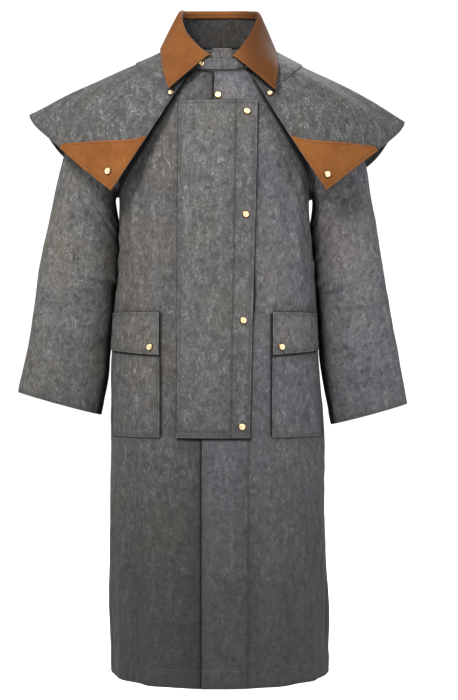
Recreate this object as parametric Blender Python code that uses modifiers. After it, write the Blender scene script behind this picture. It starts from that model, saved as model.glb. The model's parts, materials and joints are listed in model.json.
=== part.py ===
"""A long caped duster coat, filled out as if worn, with its front closed.

Metres, +Z up. The front faces -Y and the wearer's left is +X. The origin is
the middle of the neck, where the wearer carries the coat. Every piece of cloth
is an open surface worked out from the tables below, thickened outwards by
Solidify. Pieces that lie on a panel use the panel's own surface, moved out.
"""

import math

import bpy
from mathutils import Matrix, Vector

# Cloth
WALL = 0.0016
LEATHER = 0.0020
LAYER = 0.0024
SEAM = 0.0004

# Main levels of the body, measured down from the neck
HEM = -1.213
POCKET_BOTTOM = -0.743
POCKET_FLAP_BOTTOM = -0.586
POCKET_TOP = -0.504
UNDERARM = -0.270
SHOULDER_TIP = -0.046
NECK_SEAM = 0.0135

# Widths across the front
LAP_EDGE_NECK = -0.008
LAP_EDGE_HEM = -0.031
LAP_EDGE_REACH = 0.75
UNDERLAP_EDGE = 0.045
LAP_RISE_END = 0.050
LAP_RISE = 0.040
NECK_LAP_START = -0.075
ARMHOLE_HALF_DEPTH = 0.070
ARMHOLE_ROWS = 10
BACK_TILT = 0.64
PANEL_COLUMNS = 13
BACK_COLUMNS = 22
POCKET_EDGE_RIGHT = -0.1116
POCKET_EDGE_LEFT = 0.1020
POUCH = 0.0040
POUCH_REACH = 0.8
POCKET_REACH = 0.93
POCKET_COLUMNS = 8
POCKET_FLAP_ROWS = 4
POCKET_FLAP_SLANT = 0.010
POCKET_FLAP_STAND = 0.0012
POCKET_SNAP_LEVEL = -0.5705
POCKET_SNAP_SHARE = 0.113

# Storm flap, sewn along its wearer's right edge: x at the top and at the bottom
FLAP_SEWN = (-0.0755, -0.0785)
FLAP_FREE = (0.0740, 0.0580)
FLAP_START = -0.09
FLAP_LENGTH = 0.65
FLAP_RISE_START = -0.070
FLAP_RISE = 0.028
FLAP_COLUMNS = 12
FLAP_TOP_ROW = 3

POCKET_LEVELS = (POCKET_BOTTOM, -0.720, -0.665, -0.625, POCKET_FLAP_BOTTOM, -0.545, -0.522)
BODY_LEVELS = (
    HEM, -1.125, -1.030, -0.930, -0.835, POCKET_BOTTOM, -0.665,
    POCKET_FLAP_BOTTOM, -0.545, POCKET_TOP, -0.455, -0.400, -0.335,
)
SHOULDER_LEVELS = (-0.030, -0.020, -0.010, 0.001, NECK_SEAM)

# Horizontal sections of the body's inside:
# level, half_width, front_depth, back_depth, centre_x, tilt, side_lift, squareness
TORSO = (
    (HEM, 0.2150, 0.185, 0.174, 0.0020, 0.00, 0.000, 2.10),
    (-1.076, 0.2150, 0.180, 0.170, 0.0003, 0.00, 0.000, 2.12),
    (-0.876, 0.2128, 0.172, 0.163, -0.0038, 0.00, 0.000, 2.15),
    (-0.768, 0.2115, 0.167, 0.158, -0.0022, 0.00, 0.000, 2.18),
    (-0.700, 0.2100, 0.163, 0.155, -0.0035, 0.00, 0.000, 2.20),
    (-0.562, 0.2040, 0.155, 0.146, -0.0085, 0.00, 0.000, 2.25),
    (-0.476, 0.1987, 0.150, 0.140, -0.0067, 0.00, 0.000, 2.28),
    (-0.416, 0.1926, 0.149, 0.138, -0.0048, 0.00, 0.000, 2.30),
    (-0.276, 0.1880, 0.151, 0.141, -0.0095, 0.00, 0.000, 2.30),
    (-0.200, 0.1960, 0.149, 0.140, -0.0085, 0.00, 0.000, 2.30),
    (-0.100, 0.2130, 0.133, 0.123, -0.0050, 0.05, 0.000, 2.30),
    (-0.060, 0.2170, 0.125, 0.106, -0.0030, 0.12, 0.000, 2.30),
    (-0.040, 0.2050, 0.119, 0.095, -0.0020, 0.20, 0.001, 2.30),
    (-0.020, 0.1680, 0.114, 0.084, 0.0000, 0.32, 0.0030, 2.25),
    (0.000, 0.1220, 0.110, 0.078, 0.0010, 0.42, 0.0045, 2.15),
    (NECK_SEAM, 0.0840, 0.105, 0.072, 0.0020, 0.53, 0.0080, 2.45),
)

# How far forward of the middle the side seam runs: level, seam_y
SIDE_SEAM = ((HEM, -0.048), (-0.80, -0.046), (-0.50, -0.036), (UNDERARM, 0.0))

# Soft upright folds of the body:
# angle_top, angle_bottom (degrees), level_top, level_bottom, half_width (degrees), height
BODY_FOLDS = (
    (-128, -124, -0.78, HEM - 0.2, 9, 0.0085),
    (-146, -150, -0.72, HEM - 0.2, 10, 0.0055),
    (-62, -58, -0.82, HEM - 0.2, 11, 0.0060),
    (-38, -36, -0.90, HEM - 0.2, 9, 0.0050),
    (24, 28, -0.62, HEM - 0.2, 12, 0.0080),
    (62, 60, -0.50, HEM - 0.2, 12, 0.0070),
    (104, 108, -0.55, HEM - 0.2, 13, 0.0080),
    (150, 148, -0.60, HEM - 0.2, 12, 0.0075),
    (-30, -36, -0.16, -0.46, 9, 0.0050),
    (-148, -142, -0.18, -0.44, 9, 0.0045),
)

# Sleeves, outer faces of the cloth as seen from the front:
# station, outer_x, outer_z, inner_x, inner_z, half_depth, middle_y
SLEEVE_LEFT = (
    (1, 0.2240, -0.0535, 0.1845, -0.2715, 0.072, 0.000),
    (2, 0.2500, -0.0800, 0.1880, -0.2810, 0.074, -0.001),
    (3, 0.2730, -0.1250, 0.1870, -0.3000, 0.075, -0.003),
    (4, 0.2890, -0.1900, 0.1830, -0.3350, 0.074, -0.005),
    (5, 0.3036, -0.2716, 0.1850, -0.3780, 0.072, -0.008),
    (6, 0.3180, -0.3620, 0.1900, -0.4420, 0.068, -0.012),
    (7, 0.3300, -0.4400, 0.1955, -0.5000, 0.065, -0.016),
    (8, 0.3460, -0.5280, 0.1995, -0.5720, 0.060, -0.022),
    (9, 0.3590, -0.5990, 0.2090, -0.6450, 0.052, -0.027),
    (10, 0.3732, -0.6816, 0.2252, -0.7246, 0.044, -0.030),
)
SLEEVE_RIGHT = (
    (1, -0.2330, -0.0535, -0.2060, -0.2715, 0.072, 0.000),
    (2, -0.2620, -0.0800, -0.2080, -0.2810, 0.074, -0.001),
    (3, -0.2880, -0.1250, -0.2050, -0.3000, 0.075, -0.003),
    (4, -0.3080, -0.1860, -0.1990, -0.3350, 0.074, -0.005),
    (5, -0.3240, -0.2520, -0.1980, -0.3720, 0.072, -0.008),
    (6, -0.3430, -0.3440, -0.1995, -0.4280, 0.068, -0.012),
    (7, -0.3570, -0.4150, -0.2070, -0.4750, 0.065, -0.016),
    (8, -0.3666, -0.4990, -0.2145, -0.5450, 0.060, -0.022),
    (9, -0.3804, -0.5760, -0.2205, -0.6200, 0.052, -0.027),
    (10, -0.3968, -0.6590, -0.2350, -0.7060, 0.044, -0.030),
)
SLEEVE_RINGS = 16
# How far the inner side of a sleeve lies behind its outer side
SLEEVE_TURN = 0.040
SLEEVE_TURN_END = 5

# Wrinkles of a sleeve: along (0 top to 1 cuff), around (degrees from the outer side
# over the front), half_along, half_around (degrees), slant, height
SLEEVE_FOLDS = (
    (0.46, 95, 0.050, 60, 0.10, 0.0045),
    (0.58, 110, 0.045, 55, 0.12, 0.0040),
    (0.70, 80, 0.045, 50, -0.10, 0.0030),
    (0.34, 130, 0.050, 45, 0.14, 0.0040),
    (0.52, 265, 0.050, 60, -0.10, 0.0045),
    (0.64, 250, 0.045, 55, -0.08, 0.0035),
)

# The fold line of the collar, by angle round the neck from the wearer's left:
# angle (degrees), x, y, z
FOLD_LINE = (
    (-74, 0.0297, -0.1065, -0.0104),
    (-52, 0.0475, -0.0860, 0.0130),
    (-28, 0.0690, -0.0460, 0.0530),
    (0, 0.0800, 0.0000, 0.0925),
    (45, 0.0620, 0.0420, 0.1070),
    (90, 0.0010, 0.0630, 0.1120),
    (135, -0.0600, 0.0420, 0.1070),
    (180, -0.0780, 0.0000, 0.0960),
    (208, -0.0690, -0.0460, 0.0530),
    (232, -0.0433, -0.0860, 0.0140),
    (259, -0.0194, -0.1065, -0.0085),
)
# The free edge of the collar leaf, by the same angles
LEAF_EDGE = (
    (-74, 0.1074, -0.1570, -0.0828),
    (-52, 0.1140, -0.1220, -0.0400),
    (-28, 0.1135, -0.0600, -0.0020),
    (0, 0.1095, 0.0040, 0.0270),
    (45, 0.0890, 0.0790, 0.0390),
    (90, 0.0010, 0.1120, 0.0420),
    (135, -0.0870, 0.0790, 0.0390),
    (180, -0.1140, 0.0040, 0.0280),
    (208, -0.1130, -0.0610, 0.0010),
    (232, -0.1060, -0.1220, -0.0400),
    (259, -0.0948, -0.1570, -0.0805),
)
COLLAR_COLUMNS = 28
LEAF_ROWS = 5
LEAF_BULGE = 0.001
INNER_BAND = 0.012
STAND_GAP = 0.0013
NECKBAND_TOP = 0.006
NECKBAND_SIDE = -0.0135
NECKBAND_LEAN = 0.0005
NECKBAND_STEP = math.radians(4.5)
NECKBAND_SLOPE = 0.35
NECKBAND_START = (-86.9, -84.0)
NECKBAND_END = (268.5, 272.8)
STAND_ROWS = 4

# Section of the collar from its inner edge to the fold, in gaps inwards and
# shares of the inner band downwards, then over the fold: out and up
INNER_EDGE = ((1.5, 1.0), (1.3, 0.4))
UNDER_FOLD = (0.6, 0.0016)
OVER_FOLD = (0.0012, 0.0010)
LEAF_START = 0.0022
INNER_BAND_END = 0.25
INNER_BAND_TAPER = 5

# Throat tab
TAB_RIGHT_END = -0.0400
TAB_LEFT_END = 0.0460
TAB_BOTTOM = -0.0380
TAB_TOP = -0.0160
TAB_LIFT = 0.0035
TAB_LOWEST = 0.05
TAB_COLUMNS = 8
TAB_ROWS = 3
TAB_SNAP_INSET = 0.0095
TAB_SNAP_LEVEL = -0.0245

# The cape, station by station from the wearer's right front round the back:
# station, neck_angle (degrees), middle x, y, z, hem x, y, z
CAPE = (
    (0, 238, -0.1180, -0.1540, -0.144, -0.2035, -0.140, -0.2720),
    (1, 222, -0.1600, -0.1400, -0.108, -0.2600, -0.116, -0.2260),
    (2, 206, -0.1950, -0.1120, -0.076, -0.3045, -0.078, -0.1850),
    (3, 194, -0.2200, -0.0620, -0.050, -0.3620, -0.030, -0.1340),
    (4, 180, -0.2280, -0.0050, -0.0385, -0.3780, 0.008, -0.1070),
    (5, 164, -0.2190, 0.0570, -0.045, -0.3560, 0.056, -0.1330),
    (6, 146, -0.1880, 0.1080, -0.068, -0.3060, 0.112, -0.1900),
    (7, 120, -0.1080, 0.1480, -0.096, -0.1780, 0.178, -0.2600),
    (8, 90, 0.0000, 0.1600, -0.110, 0.0000, 0.198, -0.2920),
    (9, 60, 0.1080, 0.1480, -0.096, 0.1780, 0.178, -0.2640),
    (10, 34, 0.1890, 0.1090, -0.067, 0.3040, 0.112, -0.1980),
    (11, 16, 0.2190, 0.0570, -0.051, 0.3500, 0.056, -0.1450),
    (12, 0, 0.2260, -0.0050, -0.0440, 0.3705, 0.008, -0.1210),
    (13, -14, 0.2180, -0.0620, -0.057, 0.3560, -0.030, -0.1460),
    (14, -26, 0.1950, -0.1120, -0.081, 0.3050, -0.078, -0.1900),
    (15, -42, 0.1620, -0.1400, -0.110, 0.2600, -0.116, -0.2260),
    (16, -58, 0.1190, -0.1540, -0.144, 0.2043, -0.140, -0.2714),
)
CAPE_STATIONS = 16
CAPE_COLUMNS = 40
CAPE_ROWS = (0.0, 0.10, 0.19, 0.28, 0.40, 0.52, 0.64, 0.76, 0.88, 1.0)
YOKE_ROWS = 3
CAPE_NECK_SHARE = 0.09
CAPE_NECK_GAP = 0.0008
CORNER_REACH = 2.05
CORNER_TOP = 0.60
CORNER_TOP_OUTER = 0.965
CORNER_TOP_CURVE = 0.8
CORNER_COLUMNS = 8
CORNER_ROWS = 4

# Snaps of the cape's front: stations in from the front edge, share
CORNER_SNAP = {"right": (0.353, 0.921), "left": (0.250, 0.927)}
COLLAR_SNAP = {"right": (0.153, 0.284), "left": (0.234, 0.297)}

# Ring snap, half of its section: radius, height
SNAP_PROFILE = (
    (0.0, 0.0020), (0.0030, 0.0021), (0.0044, 0.0030), (0.0062, 0.0025),
    (0.0075, 0.0009), (0.0075, 0.0), (0.0, 0.0),
)
SNAP_STEPS = 9
SNAP_GAP = 0.0003
SMALL_SNAP = 0.8

# Snaps of the storm flap: x, level
FLAP_SNAPS = ((0.0535, -0.1165), (0.0505, -0.3180), (0.0465, -0.5200), (0.0438, -0.7215))
FRONT_SNAP = (-0.0010, -0.0795)

COLOURS = {
    "canvas": (0.115, 0.118, 0.120, 1.0),
    "tan": (0.300, 0.120, 0.045, 1.0),
    "brass": (0.700, 0.480, 0.180, 1.0),
}
FINISH = {"canvas": (0.78, 0.0), "tan": (0.55, 0.0), "brass": (0.30, 1.0)}


def smooth_row(table, key):
    """The table's columns at this key, along a smooth curve through its rows."""
    keys = [row[0] for row in table]
    key = min(max(key, keys[0]), keys[-1])
    i = 0
    while i < len(keys) - 2 and key > keys[i + 1]:
        i += 1
    step = keys[i + 1] - keys[i]
    u = (key - keys[i]) / step

    def slope(j, column):
        a = max(j - 1, 0)
        b = min(j + 1, len(table) - 1)
        return (table[b][column] - table[a][column]) / (keys[b] - keys[a])

    result = []
    for column in range(1, len(table[0])):
        start = table[i][column]
        end = table[i + 1][column]
        first = slope(i, column) * step
        last = slope(i + 1, column) * step
        a = 2 * start - 2 * end + first + last
        b = 3 * end - 3 * start - 2 * first - last
        result.append(((a * u + b) * u + first) * u + start)
    return result


def ease(x):
    x = min(max(x, 0.0), 1.0)
    return x * x * (3 - 2 * x)


def bell(x):
    return (1 - x * x) ** 2 if abs(x) < 1 else 0.0


def signed_power(value, power):
    return math.copysign(abs(value) ** power, value)


def body_fold(level, angle):
    """How far the body's folds push the cloth out here."""
    degrees = math.degrees(angle)
    total = 0.0
    for at_top, at_bottom, top, bottom, half_width, height in BODY_FOLDS:
        down = (top - level) / (top - bottom)
        if down <= 0 or down >= 1:
            continue
        middle = at_top + (at_bottom - at_top) * down
        off = (degrees - middle + 180) % 360 - 180
        total += height * bell(off / half_width) * math.sin(math.pi * down)
    return total


def body_section(level, angle):
    """A point of the body's smooth section, without folds."""
    half, front, back, centre, tilt, side_lift, square = smooth_row(TORSO, level)
    across = signed_power(math.cos(angle), 2 / square)
    deep = signed_power(math.sin(angle), 2 / square)
    y = (back if deep > 0 else front) * deep
    slope = tilt * (BACK_TILT if deep > 0 else 1.0)
    return Vector((centre + half * across, y, level + slope * y + side_lift * across**2))


def body_normal(level, angle):
    step = 0.004
    around = body_section(level, angle + 2 * step) - body_section(level, angle - 2 * step)
    low = max(level - step, HEM)
    high = min(level + step, NECK_SEAM)
    up = body_section(high, angle) - body_section(low, angle)
    return around.cross(up).normalized()


def body_point(level, angle, lift=0.0):
    """A point of the body's inside, moved out by the folds and by lift."""
    out = body_fold(level, angle) + lift
    return body_section(level, angle) + body_normal(level, angle) * out


def front_angle(level, x):
    """The angle at which the front of this section crosses x."""
    half, _, _, centre, _, _, square = smooth_row(TORSO, level)
    across = min(max((x - centre) / half, -1.0), 1.0)
    return -math.acos(signed_power(across, square / 2))


def side_angle(level, y):
    """The angle at which the wearer's left side of this section crosses y."""
    _, front, back, _, _, _, square = smooth_row(TORSO, level)
    return math.asin(signed_power(y / (back if y > 0 else front), square / 2))


def armhole_level(k):
    share = (1 - math.cos(math.pi * k / ARMHOLE_ROWS)) / 2
    return UNDERARM + (SHOULDER_TIP - UNDERARM) * share


def armhole_depth(level):
    """Half of the armhole's width from front to back at this level."""
    share = (level - UNDERARM) / (SHOULDER_TIP - UNDERARM)
    if share <= 0 or share >= 1:
        return 0.0
    return ARMHOLE_HALF_DEPTH * 2 * math.sqrt(share * (1 - share))


def panel_levels():
    armhole = [armhole_level(k) for k in range(ARMHOLE_ROWS + 1)]
    return list(BODY_LEVELS) + armhole + list(SHOULDER_LEVELS)


def seam_y(level):
    """Where the side or shoulder seam runs, without the armhole."""
    return smooth_row(SIDE_SEAM, level)[0] if level < UNDERARM else 0.0


def front_side_angle(level):
    return side_angle(level, seam_y(level) - armhole_depth(level) - SEAM / 2)


def back_side_angle(level):
    return side_angle(level, seam_y(level) + armhole_depth(level) + SEAM / 2)


def mirrored(angle):
    return -math.pi - angle


def lap_edge(level):
    """The free edge of the wearer's left front."""
    return LAP_EDGE_NECK + (LAP_EDGE_HEM - LAP_EDGE_NECK) * ease(-level / LAP_EDGE_REACH)


def lap_lift(x):
    """The wearer's left front rises over the right one towards its edge."""
    return LAYER * (1 - ease((x - LAP_RISE_END) / LAP_RISE))


def flap_lift(x):
    """The storm flap rises from its sewn edge over the lapped fronts."""
    return LAYER * (1 + ease((x - FLAP_RISE_START) / FLAP_RISE))


def blend(start, end, share):
    return start + (end - start) * share


def material(name):
    made = bpy.data.materials.get(name)
    if made is None:
        made = bpy.data.materials.new(name)
        made.use_nodes = True
        shader = made.node_tree.nodes["Principled BSDF"]
        kind = name.split("_")[0]
        shader.inputs["Base Color"].default_value = COLOURS[kind]
        shader.inputs["Roughness"].default_value = FINISH[kind][0]
        shader.inputs["Metallic"].default_value = FINISH[kind][1]
    return made


def add_object(name, mesh, finish):
    obj = bpy.data.objects.new(name, mesh)
    bpy.data.collections["duster_coat"].objects.link(obj)
    mesh.materials.append(material(f"{finish}_{name}"))
    return obj


def add_cloth(name, rows, finish="canvas", wall=WALL, ring=False, flip=False):
    """One piece of cloth: a grid of points, thickened outwards."""
    width = len(rows[0])
    points = [point for row in rows for point in row]
    faces = []
    for i in range(len(rows) - 1):
        for j in range(width if ring else width - 1):
            following = (j + 1) % width
            face = [i * width + j, i * width + following]
            face += [(i + 1) * width + following, (i + 1) * width + j]
            faces.append(face[::-1] if flip else face)
    mesh = bpy.data.meshes.new(name)
    mesh.from_pydata(points, [], faces)
    mesh.shade_smooth()
    obj = add_object(name, mesh, finish)
    thicken = obj.modifiers.new("wall", "SOLIDIFY")
    thicken.thickness = wall
    thicken.offset = 1.0
    thicken.use_even_offset = True
    return obj


def add_snap(name, place, normal, size=1.0):
    """A domed ring snap, turned about its own axis and set on the cloth."""
    mesh = bpy.data.meshes.new(name)
    points = [(radius * size, 0.0, height * size) for radius, height in SNAP_PROFILE]
    mesh.from_pydata(points, [(i, i + 1) for i in range(len(points) - 1)], [])
    obj = add_object(name, mesh, "brass")
    turn = obj.modifiers.new("turn", "SCREW")
    turn.steps = SNAP_STEPS
    turn.render_steps = SNAP_STEPS
    turn.use_merge_vertices = True
    turn.merge_threshold = 0.00001
    spin = normal.to_track_quat("Z", "Y").to_matrix().to_4x4()
    obj.matrix_world = Matrix.Translation(place + normal * SNAP_GAP) @ spin
    return obj


def build_body():
    levels = panel_levels()
    back = []
    left = []
    right = []
    for level in levels:
        start = back_side_angle(level)
        end = math.pi - start
        back.append(
            [body_point(level, blend(start, end, j / BACK_COLUMNS)) for j in range(BACK_COLUMNS + 1)]
        )
        side = front_side_angle(level)
        inner = front_angle(level, lap_edge(level))
        row = []
        for j in range(PANEL_COLUMNS + 1):
            angle = blend(inner, side, j / PANEL_COLUMNS)
            row.append(body_point(level, angle, lap_lift(body_section(level, angle).x)))
        left.append(row)
        inner = front_angle(level, UNDERLAP_EDGE)
        row = []
        for j in range(PANEL_COLUMNS + 1):
            row.append(body_point(level, blend(mirrored(side), inner, j / PANEL_COLUMNS)))
        right.append(row)
    add_cloth("back", back)
    add_cloth("front_left", left)
    add_cloth("front_right", right)


def flap_edges(level):
    """The storm flap's sewn edge and free edge."""
    down = (FLAP_START - level) / FLAP_LENGTH
    return blend(*FLAP_SEWN, down), blend(*FLAP_FREE, down)


def build_storm_flap():
    top = armhole_level(ARMHOLE_ROWS - FLAP_TOP_ROW)
    rows = []
    for level in panel_levels():
        if not POCKET_BOTTOM <= level <= top:
            continue
        sewn, free = flap_edges(level)
        row = []
        for j in range(FLAP_COLUMNS + 1):
            x = blend(sewn, free, j / FLAP_COLUMNS)
            row.append(body_point(level, front_angle(level, x), flap_lift(x)))
        rows.append(row)
    add_cloth("storm_flap", rows)
    for number, (x, level) in enumerate(FLAP_SNAPS, 1):
        angle = front_angle(level, x)
        place = body_point(level, angle, flap_lift(x) + WALL)
        add_snap(f"snap_flap_{number}", place, body_normal(level, angle))
    x, level = FRONT_SNAP
    angle = front_angle(level, x)
    place = body_point(level, angle, LAYER + WALL)
    add_snap("snap_front", place, body_normal(level, angle))


def pocket_angle(side, level, share):
    """From the pocket's inner edge, share 0, to its outer edge, share 1."""
    seam = front_side_angle(level)
    share *= POCKET_REACH
    if side == "left":
        return blend(front_angle(level, POCKET_EDGE_LEFT), seam, share)
    return blend(front_angle(level, POCKET_EDGE_RIGHT), mirrored(seam), share)


def pocket_lift(level, share):
    up = (level - POCKET_BOTTOM) / (POCKET_TOP - POCKET_BOTTOM)
    full = math.sin(math.pi * min(share, 1.0)) * math.sin(math.pi * min(up, 1.0) * POUCH_REACH)
    return LAYER + POUCH * full


def build_pockets():
    for side in ("left", "right"):
        rows = []
        for level in POCKET_LEVELS:
            row = []
            for j in range(POCKET_COLUMNS + 1):
                share = j / POCKET_COLUMNS
                lift = pocket_lift(level, share)
                row.append(body_point(level, pocket_angle(side, level, share), lift))
            rows.append(row)
        add_cloth(f"pocket_{side}", rows, flip=side == "right")
        rows = []
        for i in range(POCKET_FLAP_ROWS + 1):
            up = i / POCKET_FLAP_ROWS
            row = []
            for j in range(POCKET_COLUMNS + 1):
                share = j / POCKET_COLUMNS
                level = blend(POCKET_FLAP_BOTTOM + POCKET_FLAP_SLANT * share, POCKET_TOP, up)
                edge = POCKET_FLAP_STAND * (1 - up) ** 2
                lift = pocket_lift(level, share) + LAYER + edge
                row.append(body_point(level, pocket_angle(side, level, share), lift))
            rows.append(row)
        add_cloth(f"pocket_flap_{side}", rows, flip=side == "right")
        angle = pocket_angle(side, POCKET_SNAP_LEVEL, POCKET_SNAP_SHARE)
        lift = pocket_lift(POCKET_SNAP_LEVEL, POCKET_SNAP_SHARE) + LAYER + WALL + POCKET_FLAP_STAND
        place = body_point(POCKET_SNAP_LEVEL, angle, lift)
        add_snap(f"snap_pocket_{side}", place, body_normal(POCKET_SNAP_LEVEL, angle))


def sleeve_fold(along, around):
    """How far a sleeve's wrinkles push the cloth out here."""
    total = 0.0
    for at, middle, half_along, half_around, slant, height in SLEEVE_FOLDS:
        off = (around - middle + 180) % 360 - 180
        if abs(off) >= half_around:
            continue
        total += height * bell((along - at - slant * off / 90) / half_along) * bell(off / half_around)
    return total


def sleeve_ring(table, station):
    """One ring of a sleeve's inside, from its outer side over the front and under."""
    outer_x, outer_z, inner_x, inner_z, depth, middle_y = smooth_row(table, station)
    turn = SLEEVE_TURN * ease((station - 1) / (SLEEVE_TURN_END - 1))
    outer = Vector((outer_x, middle_y, outer_z))
    inner = Vector((inner_x, middle_y + turn, inner_z))
    middle = (outer + inner) / 2
    reach = (outer - inner) / 2
    reach *= 1 - WALL / reach.length
    along = (station - 1) / (len(table) - 1)
    ring = []
    for k in range(2 * ARMHOLE_ROWS):
        around = math.pi * k / ARMHOLE_ROWS
        side = Vector((0.0, -(depth - WALL) * math.sin(around), 0.0))
        point = middle + reach * math.cos(around) + side
        out = (point - middle).normalized()
        ring.append(point + out * sleeve_fold(along, math.degrees(around)))
    return ring


def build_sleeves():
    for name, table in (("sleeve_left", SLEEVE_LEFT), ("sleeve_right", SLEEVE_RIGHT)):
        right = name == "sleeve_right"
        seam = []
        for k in range(2 * ARMHOLE_ROWS):
            front = k <= ARMHOLE_ROWS
            row = ARMHOLE_ROWS - k if front else k - ARMHOLE_ROWS
            level = armhole_level(row)
            depth = armhole_depth(level)
            angle = side_angle(level, -depth if front else depth)
            if right:
                angle = mirrored(angle)
            seam.append(body_point(level, angle, WALL + SEAM))
        rings = [seam]
        for i in range(SLEEVE_RINGS + 1):
            station = 1 + (len(table) - 1) * i / SLEEVE_RINGS
            rings.append(sleeve_ring(table, station))
        add_cloth(name, rings, ring=True, flip=right)


def neck_point(angle, lift=0.0):
    """The neck seam, by the angle round the neck."""
    return body_section(NECK_SEAM, angle) + body_normal(NECK_SEAM, angle) * lift


def fold_point(angle):
    return Vector(smooth_row(FOLD_LINE, math.degrees(angle)))


def fold_frame(angle):
    """Along the fold line, out from the neck, and up, square to each other."""
    along = (fold_point(angle + 0.02) - fold_point(angle - 0.02)).normalized()
    out = Vector((math.cos(angle), math.sin(angle), 0.0))
    out = (out - along * along.dot(out)).normalized()
    return along, out, out.cross(along)


def stand_top(angle):
    """The top of the collar stand: just under the fold, and the neckband at the front."""
    low = math.radians(FOLD_LINE[0][0])
    high = math.radians(FOLD_LINE[-1][0])
    if low <= angle <= high:
        _, out, up = fold_frame(angle)
        return fold_point(angle) - out * (WALL / 2 + STAND_GAP) - up * (STAND_GAP + WALL)
    base = neck_point(angle)
    beside = low - NECKBAND_STEP <= angle <= high + NECKBAND_STEP
    return Vector((base.x, base.y - NECKBAND_LEAN, NECKBAND_SIDE if beside else NECKBAND_TOP))


def stand_point(angle, share):
    """The collar stand's inside, share 0 at the neck seam and 1 at its top."""
    x = neck_point(angle).x
    rising = ease((x - NECK_LAP_START) / LAP_RISE)
    lap = lap_lift(x) * rising if math.sin(angle) < 0 else 0.0
    base = neck_point(angle, WALL + 3 * SEAM + lap)
    return blend(base, stand_top(angle), share)


def stand_normal(angle):
    step = 0.02
    around = stand_point(angle + step, 0.2) - stand_point(angle - step, 0.2)
    up = stand_point(angle, 0.3) - stand_point(angle, 0.0)
    return around.cross(up).normalized()


def build_stand():
    low = FOLD_LINE[0][0]
    high = FOLD_LINE[-1][0]
    step = math.degrees(NECKBAND_STEP)
    before = step + NECKBAND_SLOPE
    after = step - NECKBAND_SLOPE
    degrees = [*NECKBAND_START, low - before, low - after]
    degrees += [blend(low, high, j / COLLAR_COLUMNS) for j in range(COLLAR_COLUMNS + 1)]
    degrees += [high + after, high + before, *NECKBAND_END]
    rows = []
    for i in range(STAND_ROWS + 1):
        rows.append([stand_point(math.radians(a), i / STAND_ROWS) for a in degrees])
    add_cloth("collar_stand", rows)


def build_collar():
    low = math.radians(FOLD_LINE[0][0])
    high = math.radians(FOLD_LINE[-1][0])
    columns = []
    for j in range(COLLAR_COLUMNS + 1):
        angle = blend(low, high, j / COLLAR_COLUMNS)
        fold = fold_point(angle)
        edge = Vector(smooth_row(LEAF_EDGE, math.degrees(angle)))
        along, out, up = fold_frame(angle)
        inside = out * -(WALL + STAND_GAP)
        down = stand_point(angle, 0.5) - stand_point(angle, 1.0)
        down = (down - along * along.dot(down)).normalized()
        ends = min(j, COLLAR_COLUMNS - j)
        band = INNER_BAND * ease(INNER_BAND_END + ends / INNER_BAND_TAPER)
        column = [fold + inside * gaps + down * band * share for gaps, share in INNER_EDGE]
        column.append(fold + inside * UNDER_FOLD[0] + up * UNDER_FOLD[1])
        column.append(fold + out * OVER_FOLD[0] + up * OVER_FOLD[1])
        push = (edge - fold).cross(along).normalized()
        push = push if push.dot(out + Vector((0, 0, 0.5))) > 0 else -push
        for i in range(1, LEAF_ROWS + 1):
            share = i / LEAF_ROWS
            bulge = LEAF_BULGE * math.sin(math.pi * share)
            column.append(blend(fold + out * LEAF_START, edge, share) + push * bulge)
        columns.append(column)
    rows = [[column[i] for column in columns] for i in range(len(columns[0]))]
    add_cloth("collar", rows, "tan", LEATHER, flip=True)


def tab_point(angle, height, lift):
    """A point at this height on the collar stand, moved out by lift."""
    low = stand_point(angle, 0.0)
    high = stand_point(angle, 1.0)
    share = (height - low.z) / (high.z - low.z)
    return stand_point(angle, share) + stand_normal(angle) * lift


def build_throat_tab():
    """A short tab across the neckband, fastened at the wearer's right end."""
    rows = []
    for i in range(TAB_ROWS + 1):
        row = []
        for j in range(TAB_COLUMNS + 1):
            angle = front_angle(NECK_SEAM, blend(TAB_RIGHT_END, TAB_LEFT_END, j / TAB_COLUMNS))
            bottom = max(TAB_BOTTOM, stand_point(angle, TAB_LOWEST).z)
            row.append(tab_point(angle, blend(bottom, TAB_TOP, i / TAB_ROWS), TAB_LIFT))
        rows.append(row)
    add_cloth("throat_tab", rows)
    angle = front_angle(NECK_SEAM, TAB_RIGHT_END + TAB_SNAP_INSET)
    place = tab_point(angle, TAB_SNAP_LEVEL, TAB_LIFT + WALL)
    add_snap("snap_throat", place, stand_normal(angle), SMALL_SNAP)


def cape_surface(station, share):
    """The cape's inside: station round the shoulders, share from neck to hem."""
    row = smooth_row(CAPE, station)
    angle = math.radians(row[0])
    neck = stand_point(angle, CAPE_NECK_SHARE) + stand_normal(angle) * (WALL + CAPE_NECK_GAP)
    middle = Vector(row[1:4])
    hem = Vector(row[4:7])
    first = (1 - share) * (1 - 2 * share)
    second = 4 * share * (1 - share)
    third = share * (2 * share - 1)
    return neck * first + middle * second + hem * third


def cape_normal(station, share):
    step = 0.02
    low = max(station - step, 0)
    high = min(station + step, CAPE_STATIONS)
    around = cape_surface(high, share) - cape_surface(low, share)
    near = max(share - step, 0)
    far = min(share + step, 1)
    down = cape_surface(station, far) - cape_surface(station, near)
    return around.cross(down).normalized()


def cape_point(station, share, lift=0.0):
    return cape_surface(station, share) + cape_normal(station, share) * lift


def corner_share(station, down):
    """Along the tan corner: down 0 at its slanted top edge, 1 at the cape's hem."""
    top = blend(CORNER_TOP, CORNER_TOP_OUTER, (station / CORNER_REACH) ** CORNER_TOP_CURVE)
    return blend(top, 1.0, down)


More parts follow.
